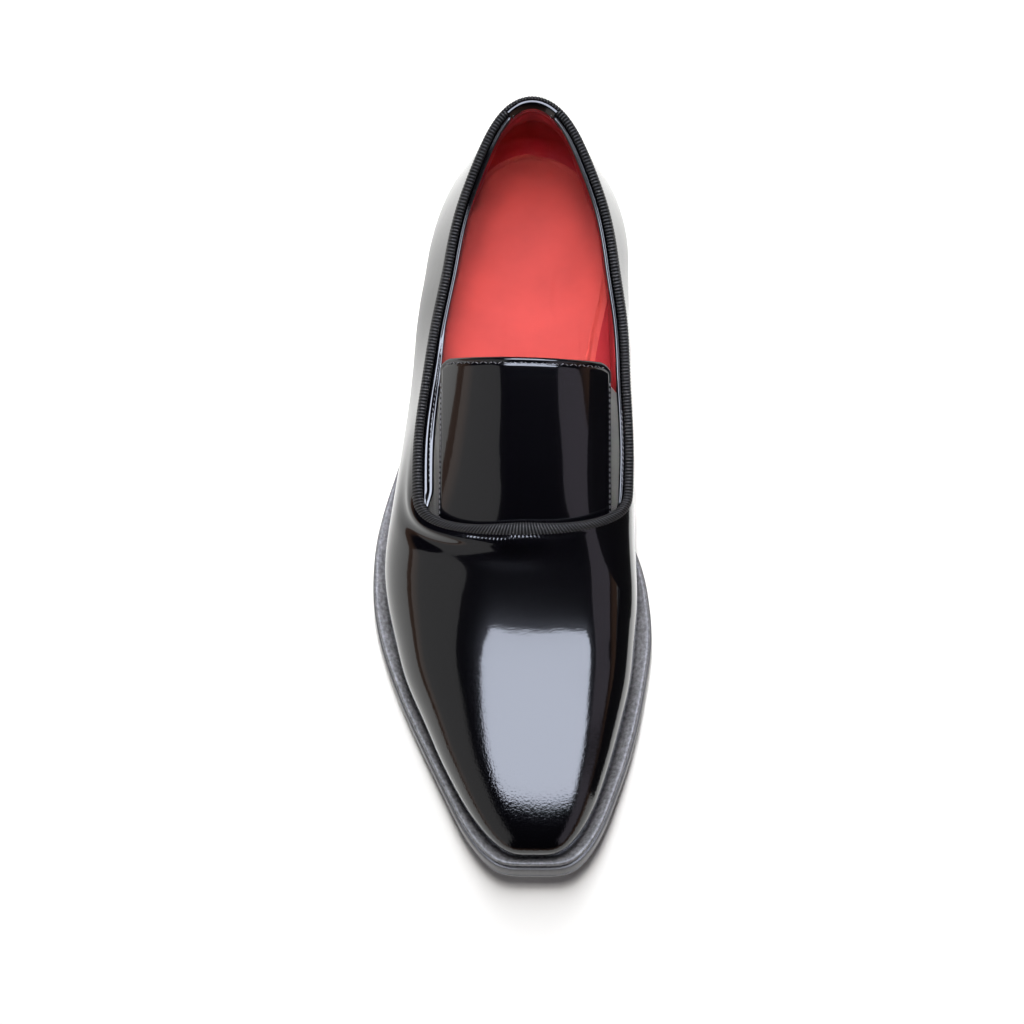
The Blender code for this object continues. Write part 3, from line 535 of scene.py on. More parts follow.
def feather(along):
    """Height of the line where the upper meets the welt."""
    return welt_top(along) + GAP


def swell_height(across_part, along):
    """Height of the upper's widest line, from -1 on the lateral side to 1 on the medial."""
    medial = (across_part + 1.0) / 2.0
    return feather(along) + RISE_LAT(along) + (RISE_MED(along) - RISE_LAT(along)) * medial


def vamp_height(across, along):
    """Outer face of the vamp as a height over the plan: a leaning arch with a rolled toe."""
    middle, half = SWELL.middle_and_half(along)
    part = np.clip((across - middle) / np.maximum(half, TINY), -1.0, 1.0)
    bent = part + LEAN(along) * (1.0 - part ** 2)
    medial = smooth_step(-SHOULDER, SHOULDER, bent)
    soft = SOFT_LAT(along) + (SOFT_MED(along) - SOFT_LAT(along)) * medial
    arch = np.clip(1.0 - bent ** 2, 0.0, 1.0) ** soft
    roll = end_round(along, TOE_FRONT - TOE_ROLL, TOE_FRONT, END_SHAPE["roll"])
    low = swell_height(part, along)
    return low + (RIDGE(along) - low) * arch * roll


def ray_point(angle, distance):
    """Plan point seen from the middle of the throat's corners, angle 0 towards the toe."""
    return np.stack([THROAT_MIDDLE + distance * np.sin(angle),
                     CORNER + distance * np.cos(angle)], axis=-1)


def ray_to_swell(angle):
    """Distance from the throat's middle to the widest line, found by halving."""
    near, far = np.zeros_like(angle), np.full_like(angle, RAY_REACH)
    for _ in range(HALVINGS):
        distance = (near + far) / 2
        across, along = ray_point(angle, distance).T
        middle, half = SWELL.middle_and_half(along)
        inside = (np.abs(across - middle) < half) & (along < TOE_FRONT)
        near, far = np.where(inside, distance, near), np.where(inside, far, distance)
    return (near + far) / 2


def ray_to_throat(angle):
    """Distance from the throat's middle to its cut edge, a squared half round."""
    wide = np.abs(np.sin(angle) / THROAT_HALF) ** THROAT_SQUARE
    deep = np.abs(np.cos(angle) / THROAT_DEPTH) ** THROAT_SQUARE
    return (wide + deep) ** (-1.0 / THROAT_SQUARE)


def even_rays():
    """Angles of the vamp's rays against fractions of the outline that they reach."""
    angle = np.linspace(-math.pi / 2, math.pi / 2, DENSE)
    length = lengths_of(ray_point(angle, ray_to_swell(angle)))
    return length / length[-1], angle


RAY_PART, RAY_ANGLE = even_rays()
SIDE_LINES = {
    (name, side): plan.side_line(side, CORNER)
    for name, plan in (("swell", SWELL), ("rim", RIM)) for side in (-1, 1)}


def rim_and_swell(place):
    """Plan points of the cut edge and the widest line at places round the perimeter."""
    place = np.mod(place, 1.0)
    rim, swell = np.zeros((len(place), 2)), np.zeros((len(place), 2))
    lateral, medial = place < LATERAL_END, place > MEDIAL_START
    vamp = ~(lateral | medial)
    for chosen, side, part in (
            (lateral, -1, place / LATERAL_END),
            (medial, 1, (1.0 - place) / (1.0 - MEDIAL_START))):
        rim[chosen] = by_length(SIDE_LINES["rim", side], part[chosen])
        swell[chosen] = by_length(SIDE_LINES["swell", side], part[chosen])
    part = (place[vamp] - LATERAL_END) / (MEDIAL_START - LATERAL_END)
    angle = np.interp(part, RAY_PART, RAY_ANGLE)
    rim[vamp] = ray_point(angle, ray_to_throat(angle))
    swell[vamp] = ray_point(angle, ray_to_swell(angle))
    return rim, swell


def perimeter(quarter_steps, vamp_steps):
    """Places round the perimeter, spread evenly over each quarter and over the vamp."""
    return np.concatenate([
        np.linspace(0.0, LATERAL_END, quarter_steps, endpoint=False),
        np.linspace(LATERAL_END, MEDIAL_START, vamp_steps, endpoint=False),
        np.linspace(MEDIAL_START, 1.0, quarter_steps, endpoint=False)])


def collar_height(side, along):
    """Height of the cut edge behind the throat's corners, on the side given by its sign."""
    corner = COLLAR_LAT(CORNER) if side < 0 else COLLAR_MED(CORNER)
    lift_there = vamp_height(corner, CORNER) - COLLAR_HEIGHT(CORNER)
    return COLLAR_HEIGHT(along) + lift_there * smooth_step(CORNER - RIM_BLEND, CORNER, along)


def outward(loop_before, loop_after):
    """Plan normal of a loop that runs heel, lateral, toe, medial."""
    step = loop_after - loop_before
    normal = np.stack([-step[:, 1], step[:, 0]], axis=1)
    return normal / np.linalg.norm(normal, axis=1)[:, None]


def upper_face(places, rows):
    """Outer face of the upper: for each place, points from the feather line to the rim."""
    places = np.asarray(places, float)
    rim, swell = rim_and_swell(places)
    normal = outward(rim_and_swell(places - NUDGE_PLACE)[1], rim_and_swell(places + NUDGE_PLACE)[1])
    grid = np.zeros((len(places), len(rows), 3))
    turn = np.linspace(TUCK_TURN, 0.0, TUCK_DENSE, endpoint=False)
    root_run = np.linspace(0.0, 1.0, RUN_DENSE)
    run = root_run ** 2
    for i in range(len(places)):
        along = swell[i, 1]
        middle, half = SWELL.middle_and_half(along)
        part = np.clip((swell[i, 0] - middle) / max(half, TINY), -1.0, 1.0)
        medial = (part + 1.0) / 2.0
        tuck = TUCK_LAT(along) + (TUCK_MED(along) - TUCK_LAT(along)) * medial
        low, high = feather(along), swell_height(part, along)
        drawn = tuck * (1.0 - np.cos(turn)) / (1.0 - math.cos(TUCK_TURN))
        under = np.column_stack([
            swell[i] - drawn[:, None] * normal[i],
            high - (high - low) * np.sin(turn) / math.sin(TUCK_TURN)])
        plan = swell[i] + (rim[i] - swell[i]) * run[:, None]
        height = vamp_height(plan[:, 0], plan[:, 1])
        if rim[i, 1] < CORNER:
            edge = collar_height(part, rim[i, 1])
            on_vamp = height + (edge - height[-1]) * root_run
            on_quarter = high + (edge - high) * run ** QUARTER_RISE
            vamp_share = smooth_step(CORNER - SIDE_BLEND, CORNER, rim[i, 1])
            height = on_quarter + (on_vamp - on_quarter) * vamp_share
        grid[i] = by_length(np.vstack([under, np.column_stack([plan, height])]), rows)
    return grid


def unit(vectors):
    return vectors / np.linalg.norm(vectors, axis=-1, keepdims=True)


def ease_corners(face, places):
    """Eases the quarters into the vamp where their columns meet at the throat's corners."""
    near = hump(places, LATERAL_END, EASE_REACH) + hump(places, MEDIAL_START, EASE_REACH)
    for _ in range(EASE_ROUNDS):
        middle = (np.roll(face, 1, axis=0) + np.roll(face, -1, axis=0)) / 2
        face = face + (middle - face) * (near * EASE_SHARE)[:, None, None]
    return face


def wall_normals(face):
    """Unit normals of a wall of columns that goes all round, pointing out of the shoe."""
    around = np.roll(face, -1, axis=0) - np.roll(face, 1, axis=0)
    return unit(np.cross(np.gradient(face, axis=1), around))


class Wall:
    """The upper's outer face, to be asked for points below its rim and inside its skin."""

    def __init__(self, places, rows):
        self.places = places
        self.face = ease_corners(upper_face(places, rows), places)
        self.normal = wall_normals(self.face)
        steps = np.linalg.norm(np.diff(self.face[:, ::-1], axis=1), axis=2)
        below = np.concatenate([np.zeros((len(places), 1)), np.cumsum(steps, axis=1)], axis=1)
        self.below = below[:, ::-1]
        self.height = self.below[:, 0]
        rim = self.face[:, -1]
        self.rim_length = lengths_of(np.vstack([rim, rim[:1]]))

    def point(self, below, depth):
        """Points below the rim by a distance along the face, and inside it by a depth."""
        found = np.zeros(below.shape + (3,))
        for i in range(len(self.places)):
            run = self.below[i, ::-1]
            for axis in range(3):
                face = np.interp(below[i], run, self.face[i, ::-1, axis])
                normal = np.interp(below[i], run, self.normal[i, ::-1, axis])
                found[i, :, axis] = face - normal * depth[i]
        return found


def to_world(points):
    """Millimetres across, along and up, to metres in the part's frame."""
    across, along, up = np.moveaxis(np.asarray(points, float), -1, 0)
    return np.stack([across, SOLE_LENGTH / 2 - along, up], axis=-1) * MM


def closed_loop(plan, count):
    """Outline of a plan as heel, lateral, toe, medial, evenly spaced on each side."""
    part = np.linspace(0.0, 1.0, count + 1)
    lateral = by_length(plan.side_line(-1, plan.toe[1]), part)
    medial = by_length(plan.side_line(1, plan.toe[1]), part)
    return np.vstack([lateral, medial[-2:0:-1]])


def feather_loop(count):
    """The feather line as heel, lateral, toe, medial, evenly spaced on each side."""
    part = np.linspace(0.0, 1.0, count + 1)
    dense = upper_face(np.linspace(0.0, 1.0, FEATHER_DENSE), [0.0])[:, 0, :2]
    toe = int(np.argmax(dense[:, 1]))
    lateral = by_length(dense[:toe + 1], part)
    medial = by_length(dense[toe:][::-1], part)
    return np.vstack([lateral, medial[-2:0:-1]])


def inset_loop(loop, inset):
    """Draws a loop in by a distance, along its own normals."""
    return loop - inset * outward(np.roll(loop, 1, axis=0), np.roll(loop, -1, axis=0))


def lean_back(loop, rise):
    """Shifts a loop that lies above the sole's underside, so that edges stand square to it."""
    slope = (sole_bottom(loop[:, 1] + NUDGE) - sole_bottom(loop[:, 1] - NUDGE)) / (2 * NUDGE)
    return np.column_stack([loop[:, 0], loop[:, 1] - rise * np.maximum(slope, 0.0)])


def lift(loop, height, rise=0.0):
    """Stands a plan loop at heights that follow its place along the shoe."""
    return np.column_stack([loop, height(loop[:, 1]) + rise])


def tongue_height(across, along):
    """Outer face of the tongue: an arch of its own that runs in under the vamp's edge."""
    part = np.abs(across - TONGUE_MID) / TONGUE_HALF
    return TONGUE_MIDDLE(along) - TONGUE_HANG(along) * part ** TONGUE_ARCH


def tongue_tip(part):
    """Where the tongue ends, from -1 on its lateral edge to 1 on its medial edge."""
    straight = 1.0 - TONGUE_CORNER / TONGUE_HALF
    round_part = np.clip((np.abs(part) - straight) / (1.0 - straight), 0.0, 1.0)
    tip = TONGUE_TIP - TONGUE_BOW * part ** 2 + TONGUE_SLANT * part
    return tip + TONGUE_CORNER * (1.0 - np.sqrt(1.0 - round_part ** 2))


class RimLine:
    """The collar's cut edge by its length, with the way out of the leather and past its edge."""

    def __init__(self):
        places = np.linspace(0.0, 1.0, RIM_STEPS, endpoint=False)
        rows = 1.0 - NUDGE_ROW * np.array([6, 4, 2, 0])
        face = ease_corners(upper_face(places, rows), places)
        edge = face[:, -1]
        normal = unit(self.soften(wall_normals(face)[:, -1]))
        past = self.soften(edge - face[:, 0])
        past = unit(past - normal * np.sum(past * normal, axis=1)[:, None])
        self.places = np.append(places, 1.0)
        self.values = np.column_stack([edge, normal, past])
        self.values = np.vstack([self.values, self.values[:1]])
        self.lengths = lengths_of(self.values[:, :3])
        self.total = self.lengths[-1]

    @staticmethod
    def soften(vectors):
        for _ in range(SOFTEN_ROUNDS):
            vectors = (np.roll(vectors, 1, axis=0) + 2 * vectors + np.roll(vectors, -1, axis=0)) / 4
        return vectors

    def length_at(self, place):
        """Length along the edge at places; below 0 on the medial side."""
        turns = np.floor(place)
        return np.interp(place - turns, self.places, self.lengths) + turns * self.total

    def at(self, length):
        """Places, edge points, ways out and ways past the edge at lengths along it."""
        turns = np.floor(length / self.total)
        rest = length - turns * self.total
        found = points_at(self.values, self.lengths, rest)
        place = np.interp(rest, self.lengths, self.places) + turns
        return place, found[:, :3], unit(found[:, 3:6]), unit(found[:, 6:])


RIM_LINE = RimLine()


def lay_grid(points, span=(1.0, 1.0)):
    """A grid of faces laid on points by column and row, welded where its edges meet.

    The UV map holds metres along the columns and rows, from the spans in metres.
    """
    columns, rows = points.shape[:2]
    bm = bmesh.new()
    layer = bm.loops.layers.uv.new("UVMap")
    bmesh.ops.create_grid(bm, x_segments=columns - 1, y_segments=rows - 1, size=0.5, calc_uvs=True)
    places = to_world(points)
    for vert in bm.verts:
        i = round((vert.co.x + 0.5) * (columns - 1))
        j = round((vert.co.y + 0.5) * (rows - 1))
        vert.co = places[i, j]
    for face in bm.faces:
        for loop in face.loops:
            loop[layer].uv = loop[layer].uv.x * span[0], loop[layer].uv.y * span[1]
    bmesh.ops.remove_doubles(bm, verts=bm.verts[:], dist=WELD)
    return bm


def new_thing(name, bm, finish):
    """Makes a bmesh an object of the scene, with a finish."""
    mesh = bpy.data.meshes.new(name)
    bm.to_mesh(mesh)
    bm.free()
    mesh.materials.append(finish)
    thing = bpy.data.objects.new(name, mesh)
    bpy.context.scene.collection.objects.link(thing)
    return thing


def add_piece(name, bm, finish, slot_name, *nodes):
    """Makes a bmesh a piece that rides with the shoe and stands for CAD nodes, which it hides."""
    bmesh.ops.recalc_face_normals(bm, faces=bm.faces[:])
    piece = new_thing(name, bm, finish)
    piece.data.shade_smooth()
    piece.data.set_sharp_from_angle(angle=SHARP_ANGLE)
    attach(piece, BODY)
    if nodes:
        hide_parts(*nodes)


def close_round(points):
    """Repeats the first column after the last, so that a ring of columns closes."""
    return np.concatenate([points, points[:1]], axis=0)


def close_section(points):
    """Repeats the first row after the last, so that each column's section closes."""
    return np.concatenate([points, points[:, :1]], axis=1)


def lay_strip(points, span=(1.0, 1.0)):
    """A grid whose sections close and whose two ends are filled."""
    bm = lay_grid(close_section(points), span)
    bmesh.ops.holes_fill(bm, edges=bm.edges[:], sides=0)
    return bm


def slab_sections(loops, steps, relief=None):
    """Closed sections across loops stacked from bottom to top, from the heel to the toe.

    Relief gives the height that is added on top at points across and along.
    """
    loops = np.asarray(loops)
    half = loops.shape[1] // 2
    lateral = loops[:, :half + 1]
    medial = np.concatenate([loops[:, :1], loops[:, :half - 1:-1]], axis=1)
    share = np.linspace(0.0, 1.0, steps + 1)[1:-1, None, None]
    under = medial[0] + (lateral[0] - medial[0]) * share
    over = lateral[-1] + (medial[-1] - lateral[-1]) * share
    if relief:
        over = over.copy()
        over[:, :, 2] += relief(share[:, :, 0], over[:, :, 0], over[:, :, 1])
    rows = np.concatenate([under, lateral, over, medial[::-1], under[:1]], axis=0)
    return np.swapaxes(rows, 0, 1)


def stitch_row(bm, points, along, up, size):
    """Adds a row of stitches, small long beads that lie along a line."""
    for point, ahead, above in zip(to_world(points), along, up):
        ahead = Vector((ahead[0], -ahead[1], ahead[2])).normalized()
        above = Vector((above[0], -above[1], above[2])).normalized()
        beside = above.cross(ahead).normalized()
        above = ahead.cross(beside)
        turn = Matrix((ahead, beside, above)).transposed().to_4x4()
        place = Matrix.Translation(Vector(point)) @ turn @ Matrix.Diagonal((*size, 1.0))
        bmesh.ops.create_uvsphere(bm, u_segments=6, v_segments=5, radius=0.5, matrix=place)


def add_node(tree, kind, inputs=None, **settings):
    """Adds a node with its settings, and its inputs set or joined to other nodes' outputs."""
    node = tree.nodes.new(kind)
    for name, value in settings.items():
        setattr(node, name, value)
    for name, value in (inputs or {}).items():
        if isinstance(value, bpy.types.NodeSocket):
            tree.links.new(value, node.inputs[name])
        else:
            node.inputs[name].default_value = value
    return node


def new_finish(name, colour, sockets):
    """A material with a plain base colour and its shader's sockets set by name."""
    finish = bpy.data.materials.new(name)
    finish.use_nodes = True
    finish.diffuse_color = (*colour, 1.0)
    shader = finish.node_tree.nodes["Principled BSDF"]
    shader.inputs["Base Color"].default_value = (*colour, 1.0)
    for socket, value in sockets.items():
        shader.inputs[socket].default_value = value
    return finish, finish.node_tree, shader


def noise_of(tree, source, scale, detail):
    """Even noise of a scale per metre."""
    return add_node(tree, "ShaderNodeTexNoise", {
        "Vector": source, "Scale": scale, "Detail": detail}).outputs["Fac"]


def grain(tree, source, scale, depth, stretch=None, normal=None, strength=1.0):
    """Noise of a scale per metre raised by a depth in metres, on top of another grain."""
    if stretch:
        mapping = add_node(tree, "ShaderNodeMapping", {"Vector": source, "Scale": stretch})
        source = mapping.outputs["Vector"]
    noise = noise_of(tree, source, scale, GRAIN_DETAIL)
    inputs = {"Height": noise, "Distance": depth, "Strength": strength}
    if normal:
        inputs["Normal"] = normal
    return add_node(tree, "ShaderNodeBump", inputs).outputs["Normal"]


def ramp_between(tree, share, *stops):
    """Colour that runs between two stops, each given as its place and colour."""
    ramp = add_node(tree, "ShaderNodeValToRGB", {"Fac": share})
    for element, (place, colour) in zip(ramp.color_ramp.elements, stops):
        element.position = place
        element.color = (*colour, 1.0)
    return ramp.outputs["Color"]


def tint(tree, source, scale, *tones):
    """Colour that wanders between two tones, with noise of a scale per metre."""
    noise = noise_of(tree, source, scale, TONE_DETAIL)
    return ramp_between(tree, noise, *zip(TONE_STOPS, tones))


def shade(colour, share):
    return tuple(part * share for part in colour)


def patent_finish(colours, name, coat_index):
    """Black patent leather: a wet clear coat with a fine orange peel that is coarser at the toe."""
    finish, tree, shader = new_finish(name, colours.patent, {
        "Roughness": 0.16, "Specular IOR Level": 0.18, "Coat Weight": 1.0, "Coat Roughness": 0.025,
        "Coat IOR": coat_index})
    source = add_node(tree, "ShaderNodeTexCoord").outputs["Object"]
    wave = grain(tree, source, *PATENT_WAVE)
    along = add_node(tree, "ShaderNodeSeparateXYZ", {"Vector": source}).outputs["Y"]
    toe = add_node(tree, "ShaderNodeMapRange", {
        "Value": along, "From Min": PEEL_RUN[0], "From Max": PEEL_RUN[1],
        "To Min": PEEL_LEAST, "To Max": 1.0})
    peel = grain(tree, source, *PATENT_PEEL, normal=wave, strength=toe.outputs["Result"])
    tree.links.new(peel, shader.inputs["Normal"])
    tree.links.new(peel, shader.inputs["Coat Normal"])
    return finish


def ribbon_finish(colours, name, pitch):
    """Ribbed ribbon with a little sheen and fine threads, its colour darkened between the ribs as
    painted shade.
    """
    finish, tree, shader = new_finish(name, colours.ribbon, {
        "Roughness": 0.5, "Specular IOR Level": 0.15})
    source = add_node(tree, "ShaderNodeTexCoord").outputs["UV"]
    threads = grain(tree, source, *RIB_THREADS, RIB_STRETCH)
    tree.links.new(threads, shader.inputs["Normal"])
    # painted shade: a wave in step with the ribs darkens the colour between them
    valley = add_node(tree, "ShaderNodeTexWave", {
        "Vector": source, "Scale": BAND_SCALE / pitch, "Distortion": 0.3, "Detail": 1.0})
    tone = ramp_between(tree, valley.outputs["Fac"], *zip(
        RIB_PAINTED_SHADE_STOPS, (colours.ribbon, shade(colours.ribbon, RIB_PAINTED_SHADE))))
    tree.links.new(tone, shader.inputs["Base Color"])
    return finish


def elastic_finish(colours, name):
    """Dark grey elastic, woven over and under along the strip's own map."""
    finish, tree, shader = new_finish(name, colours.elastic, {
        "Roughness": 0.9, "Specular IOR Level": 0.2, "Sheen Weight": 0.3, "Sheen Roughness": 0.5})
    source = add_node(tree, "ShaderNodeTexCoord").outputs["UV"]
    weft, warp = (
        add_node(tree, "ShaderNodeTexWave", {
            "Vector": source, "Scale": scale, "Distortion": 0.4, "Detail": 1.0,
        }, bands_direction=way)
        for scale, way in zip(WEAVE_SCALES, "XY"))
    weave = add_node(tree, "ShaderNodeMath", {
        0: weft.outputs["Fac"], 1: warp.outputs["Fac"]}, operation="MULTIPLY").outputs[0]
    raised = add_node(tree, "ShaderNodeBump", {"Height": weave, "Distance": WEAVE_DEPTH})
    tone = ramp_between(tree, weave, *zip(
        (0.0, 1.0), (shade(colours.elastic, share) for share in WEAVE_SHADES)))
    tree.links.new(raised.outputs["Normal"], shader.inputs["Normal"])
    tree.links.new(tone, shader.inputs["Base Color"])
    return finish


def grained_finish(colours, name):
    """A finish from the table: grains raised on each other, and a tone that wanders."""
    colour_name, roughness, gloss, grains, tone = GRAINED[name]
    colour = getattr(colours, colour_name)
    finish, tree, shader = new_finish(name, colour, {
        "Roughness": roughness, "Specular IOR Level": gloss})
    source = add_node(tree, "ShaderNodeTexCoord").outputs["Object"]
    normal = None
    for scale, depth, stretch in grains:
        normal = grain(tree, source, scale, depth, stretch, normal)
    if normal:
        tree.links.new(normal, shader.inputs["Normal"])
    if tone:
        scale, dark, light = tone
        colour = tint(tree, source, scale, shade(colour, dark), shade(colour, light))
        tree.links.new(colour, shader.inputs["Base Color"])
    return finish


def finish_named(context, name, make=grained_finish, *values):
    """A finish that several pieces share, made when it is first asked for."""
    return bpy.data.materials.get(name) or make(context.scene.loafer_colours, name, *values)


def patent(context, name="patent_leather_finish", coat_index=LEATHER_COAT):
    """Finish of the patent pieces; a higher index of the coat is a brighter polish."""
    return finish_named(context, name, patent_finish, coat_index)


def length_prop(name, description, default):
    return FloatProperty(name=name, description=description, default=default, min=0.0,
                         unit="LENGTH", precision=5)


def colour_prop(name, description, default):
    return FloatVectorProperty(name=name, description=description, default=default, size=3,
                               subtype="COLOR", min=0.0, max=1.0)


class LoaferSizes(bpy.types.PropertyGroup):
    """Sizes of the shoe's fine details, in metres."""
    stitch_pitch: length_prop("Stitch pitch", "From one stitch to the next", 0.0021)
    stitch_width: length_prop("Stitch width", "Width of a stitch", 0.00036)
    rib_pitch: length_prop("Rib pitch", "From one rib of the ribbon to the next", 0.00132)
    rib_depth: length_prop("Rib depth", "Depth between two ribs of the ribbon", 0.00024)
    throat_roll: length_prop(
        "Throat roll", "Height of the roll beside the throat's ribbon", 0.00034)
    throat_trough: length_prop("Throat trough", "Depth of the trough ahead of that roll", 0.0003)
    throat_bead: length_prop("Throat bead", "Height of the bead along the throat's seam", 0.00018)
    pucker: length_prop("Pucker", "Depth of the puckers along the ribbon's seam", 0.00014)
    pucker_pitch: length_prop("Pucker pitch", "From one pucker to the next", 0.0014)
    sock_crease: length_prop("Sock crease", "Height of the creases in the sock", 0.00036)
    seam_groove: length_prop("Seam groove", "Depth of the stitched grooves of the tongue", 0.00028)


class LoaferColours(bpy.types.PropertyGroup):
    """Colours of the shoe's finishes."""
    patent: colour_prop("Patent", "Black patent leather", (0.0012, 0.0011, 0.0019))
    ribbon: colour_prop("Ribbon", "Ribbed ribbon of the collar", (0.042, 0.042, 0.045))
    elastic: colour_prop("Elastic", "Elastic beside the tongue", (0.014, 0.014, 0.015))
    sock: colour_prop("Sock", "Red leather of the sock", (0.36, 0.040, 0.034))
    lining: colour_prop("Lining", "Red leather of the lining", (0.30, 0.021, 0.027))
    welt: colour_prop("Welt", "Grained welt", (0.15, 0.15, 0.16))
    sole: colour_prop("Sole", "Satin sole edge and heel", (0.10, 0.10, 0.106))
    thread: colour_prop("Thread", "Waxed thread of the seams", (0.10, 0.10, 0.115))
    floor: colour_prop("Floor", "Pale floor", (0.9, 0.895, 0.885))


def mm(value):
    """Metres of a size property, as millimetres."""
    return value / MM


def upper_relief(wall, sizes):
    """How far the skin's details stand out of the upper, in millimetres by column and row."""
    place = wall.places[:, None]
    growth, fold_place, fold_reach = CORNER_FOLD
    fold = 1.0 + growth * hump(place, fold_place, fold_reach)
    roll = mm(sizes.throat_roll) * hump(wall.below, *ROLL_RIDGE)
    trough = mm(sizes.throat_trough) * hump(wall.below, *TROUGH_RIDGE)
    bead = mm(sizes.throat_bead) * hump(wall.below, *BEAD_RIDGE)
    beat = 0.5 + 0.5 * np.cos(2 * math.pi * wall.rim_length[:-1] / mm(sizes.pucker_pitch))
    pucker = mm(sizes.pucker) * beat[:, None] * hump(wall.below, *PUCKER_RIDGE)
    return (window(place, *THROAT_RUN) * fold * (roll - trough) + window(place, *BEAD_RUN) * bead
            - window(place, *PUCKER_RUN) * pucker)


class LOAFER_OT_upper(bpy.types.Operator):
    """Skin of the upper over the shape of the last, with the roll and trough of its throat"""
    bl_idname = "loafer.upper"
    bl_label = "Upper"

    def execute(self, context):
        sizes = context.scene.loafer_sizes
        rows = 1.0 - (1.0 - np.linspace(0.0, 1.0, SKIN_ROWS)) ** RIM_CROWD
        wall = Wall(perimeter(SKIN_QUARTER, SKIN_VAMP), rows)
        outer = wall.face + wall.normal * upper_relief(wall, sizes)[:, :, None]
        kept = np.linspace(SKIN_ROWS - 1, 0, SKIN_INNER_ROWS).round().astype(int)
        inner = wall.face[:, kept] - wall.normal[:, kept] * SKIN_DEPTH
        foot = np.array([0.0, 0.0, SKIN_FOOT])
        rounds = [outer[:, :1] - foot, outer, inner, inner[:, -1:] - foot]
        section = close_section(np.concatenate(rounds, axis=1))
        add_piece("upper_skin", lay_grid(close_round(section)), patent(context), "patent", "upper")
        return {"FINISHED"}


class LOAFER_OT_lining(bpy.types.Operator):
    """Red lining inside the upper, with its cut edge on a ledge below the facing"""
    bl_idname = "loafer.lining"
    bl_label = "Lining"

    def execute(self, context):
        wall = Wall(perimeter(LINING_QUARTER, LINING_VAMP), np.linspace(0.0, 1.0, LINING_ROWS))
        place = np.where(wall.places > 0.5, wall.places - 1.0, wall.places)
        held = window(place, *LINING_RUN)
        heel = smooth_step(*LINING_HEEL, np.abs(place))
        behind = FACING_OUT + FACING_THICK(np.clip(place, -LATERAL_END, LATERAL_END)) + GAP
        behind = behind + (TAB_INSIDE + GAP - behind) * heel
        ledge = (LINING_EDGE - LINING_LIFT * heel + LINING_SINK * (1.0 - held))[:, None]
        deep = np.maximum(LINING_DEEP, ledge + LINING_LEAST)
        foot = wall.height[:, None]
        below = np.concatenate([
            ledge + (deep - ledge) * np.linspace(0.0, 1.0, LINING_NEAR),
            deep + (foot - deep) * np.linspace(0.0, 1.0, LINING_FAR)[1:]], axis=1)
        wave = sum(high * np.sin(wall.rim_length[:-1] / long) for high, long in LINING_WAVES)
        stand = (behind + LINING_STAND - LINING_LIFT * heel + wave - LINING_IN) * held
        depth = LINING_IN + stand[:, None] * smooth_step(deep, LINING_EASE, below)
        depth[:, :len(LINING_TURN)] -= held[:, None] * np.array(LINING_TURN)
        back_below = np.concatenate([
            foot + (ledge + LINING_BACK[0] - foot) * np.linspace(0.0, 1.0, LINING_BACK_ROWS),
            ledge + np.array(LINING_BACK[1:])], axis=1)
        back_depth = np.full(back_below.shape, LINING_OUT)
        back_depth[:, 1 - len(LINING_BACK):] += ((behind - LINING_OUT) * held)[:, None]
        rounds = [wall.point(below, depth), wall.point(back_below, back_depth)]
        section = close_section(np.concatenate(rounds, axis=1))
        finish = finish_named(context, "lining_finish")
        add_piece("lining", lay_grid(close_round(section)), finish, "sock")
        return {"FINISHED"}


def sock_relief(sizes):
    """Height added to the sock's top: a shallow cup and soft creases across and along it."""
    def height(share, across, along):
        rise = np.abs(2.0 * share - 1.0) ** SOCK_CUP * smooth_step(*SOCK_CUP_RUN, along)
        for x, y, turn, long, wide, bend, part in SOCK_CREASES:
            cos, sin = math.cos(math.radians(turn)), math.sin(math.radians(turn))
            run = (across - x) * cos + (along - y) * sin
            off = (along - y) * cos - (across - x) * sin - bend * run ** 2
            ridge = hump(off, 0.0, wide) - CREASE_DIP * hump(off, CREASE_ASIDE * wide, wide)
            rise = rise + mm(sizes.sock_crease) * part * ridge * hump(run, 0.0, long)
        return rise
    return height


class LOAFER_OT_sock(bpy.types.Operator):
    """Red leather sock on its board, softly cupped and creased"""
    bl_idname = "loafer.sock"
    bl_label = "Sock"

    def execute(self, context):
        loop = inset_loop(feather_loop(SOCK_STEPS), INSOLE_INSET)
        stack = [
            lift(inset_loop(loop, inset), feather, INSOLE_RISE + rise)
            for inset, rise in SOCK_EDGE]
        sections = slab_sections(stack, SOCK_ACROSS, sock_relief(context.scene.loafer_sizes))
        finish = finish_named(context, "sock_finish")
        add_piece("sock", lay_grid(sections), finish, "sock", "insole")
        return {"FINISHED"}


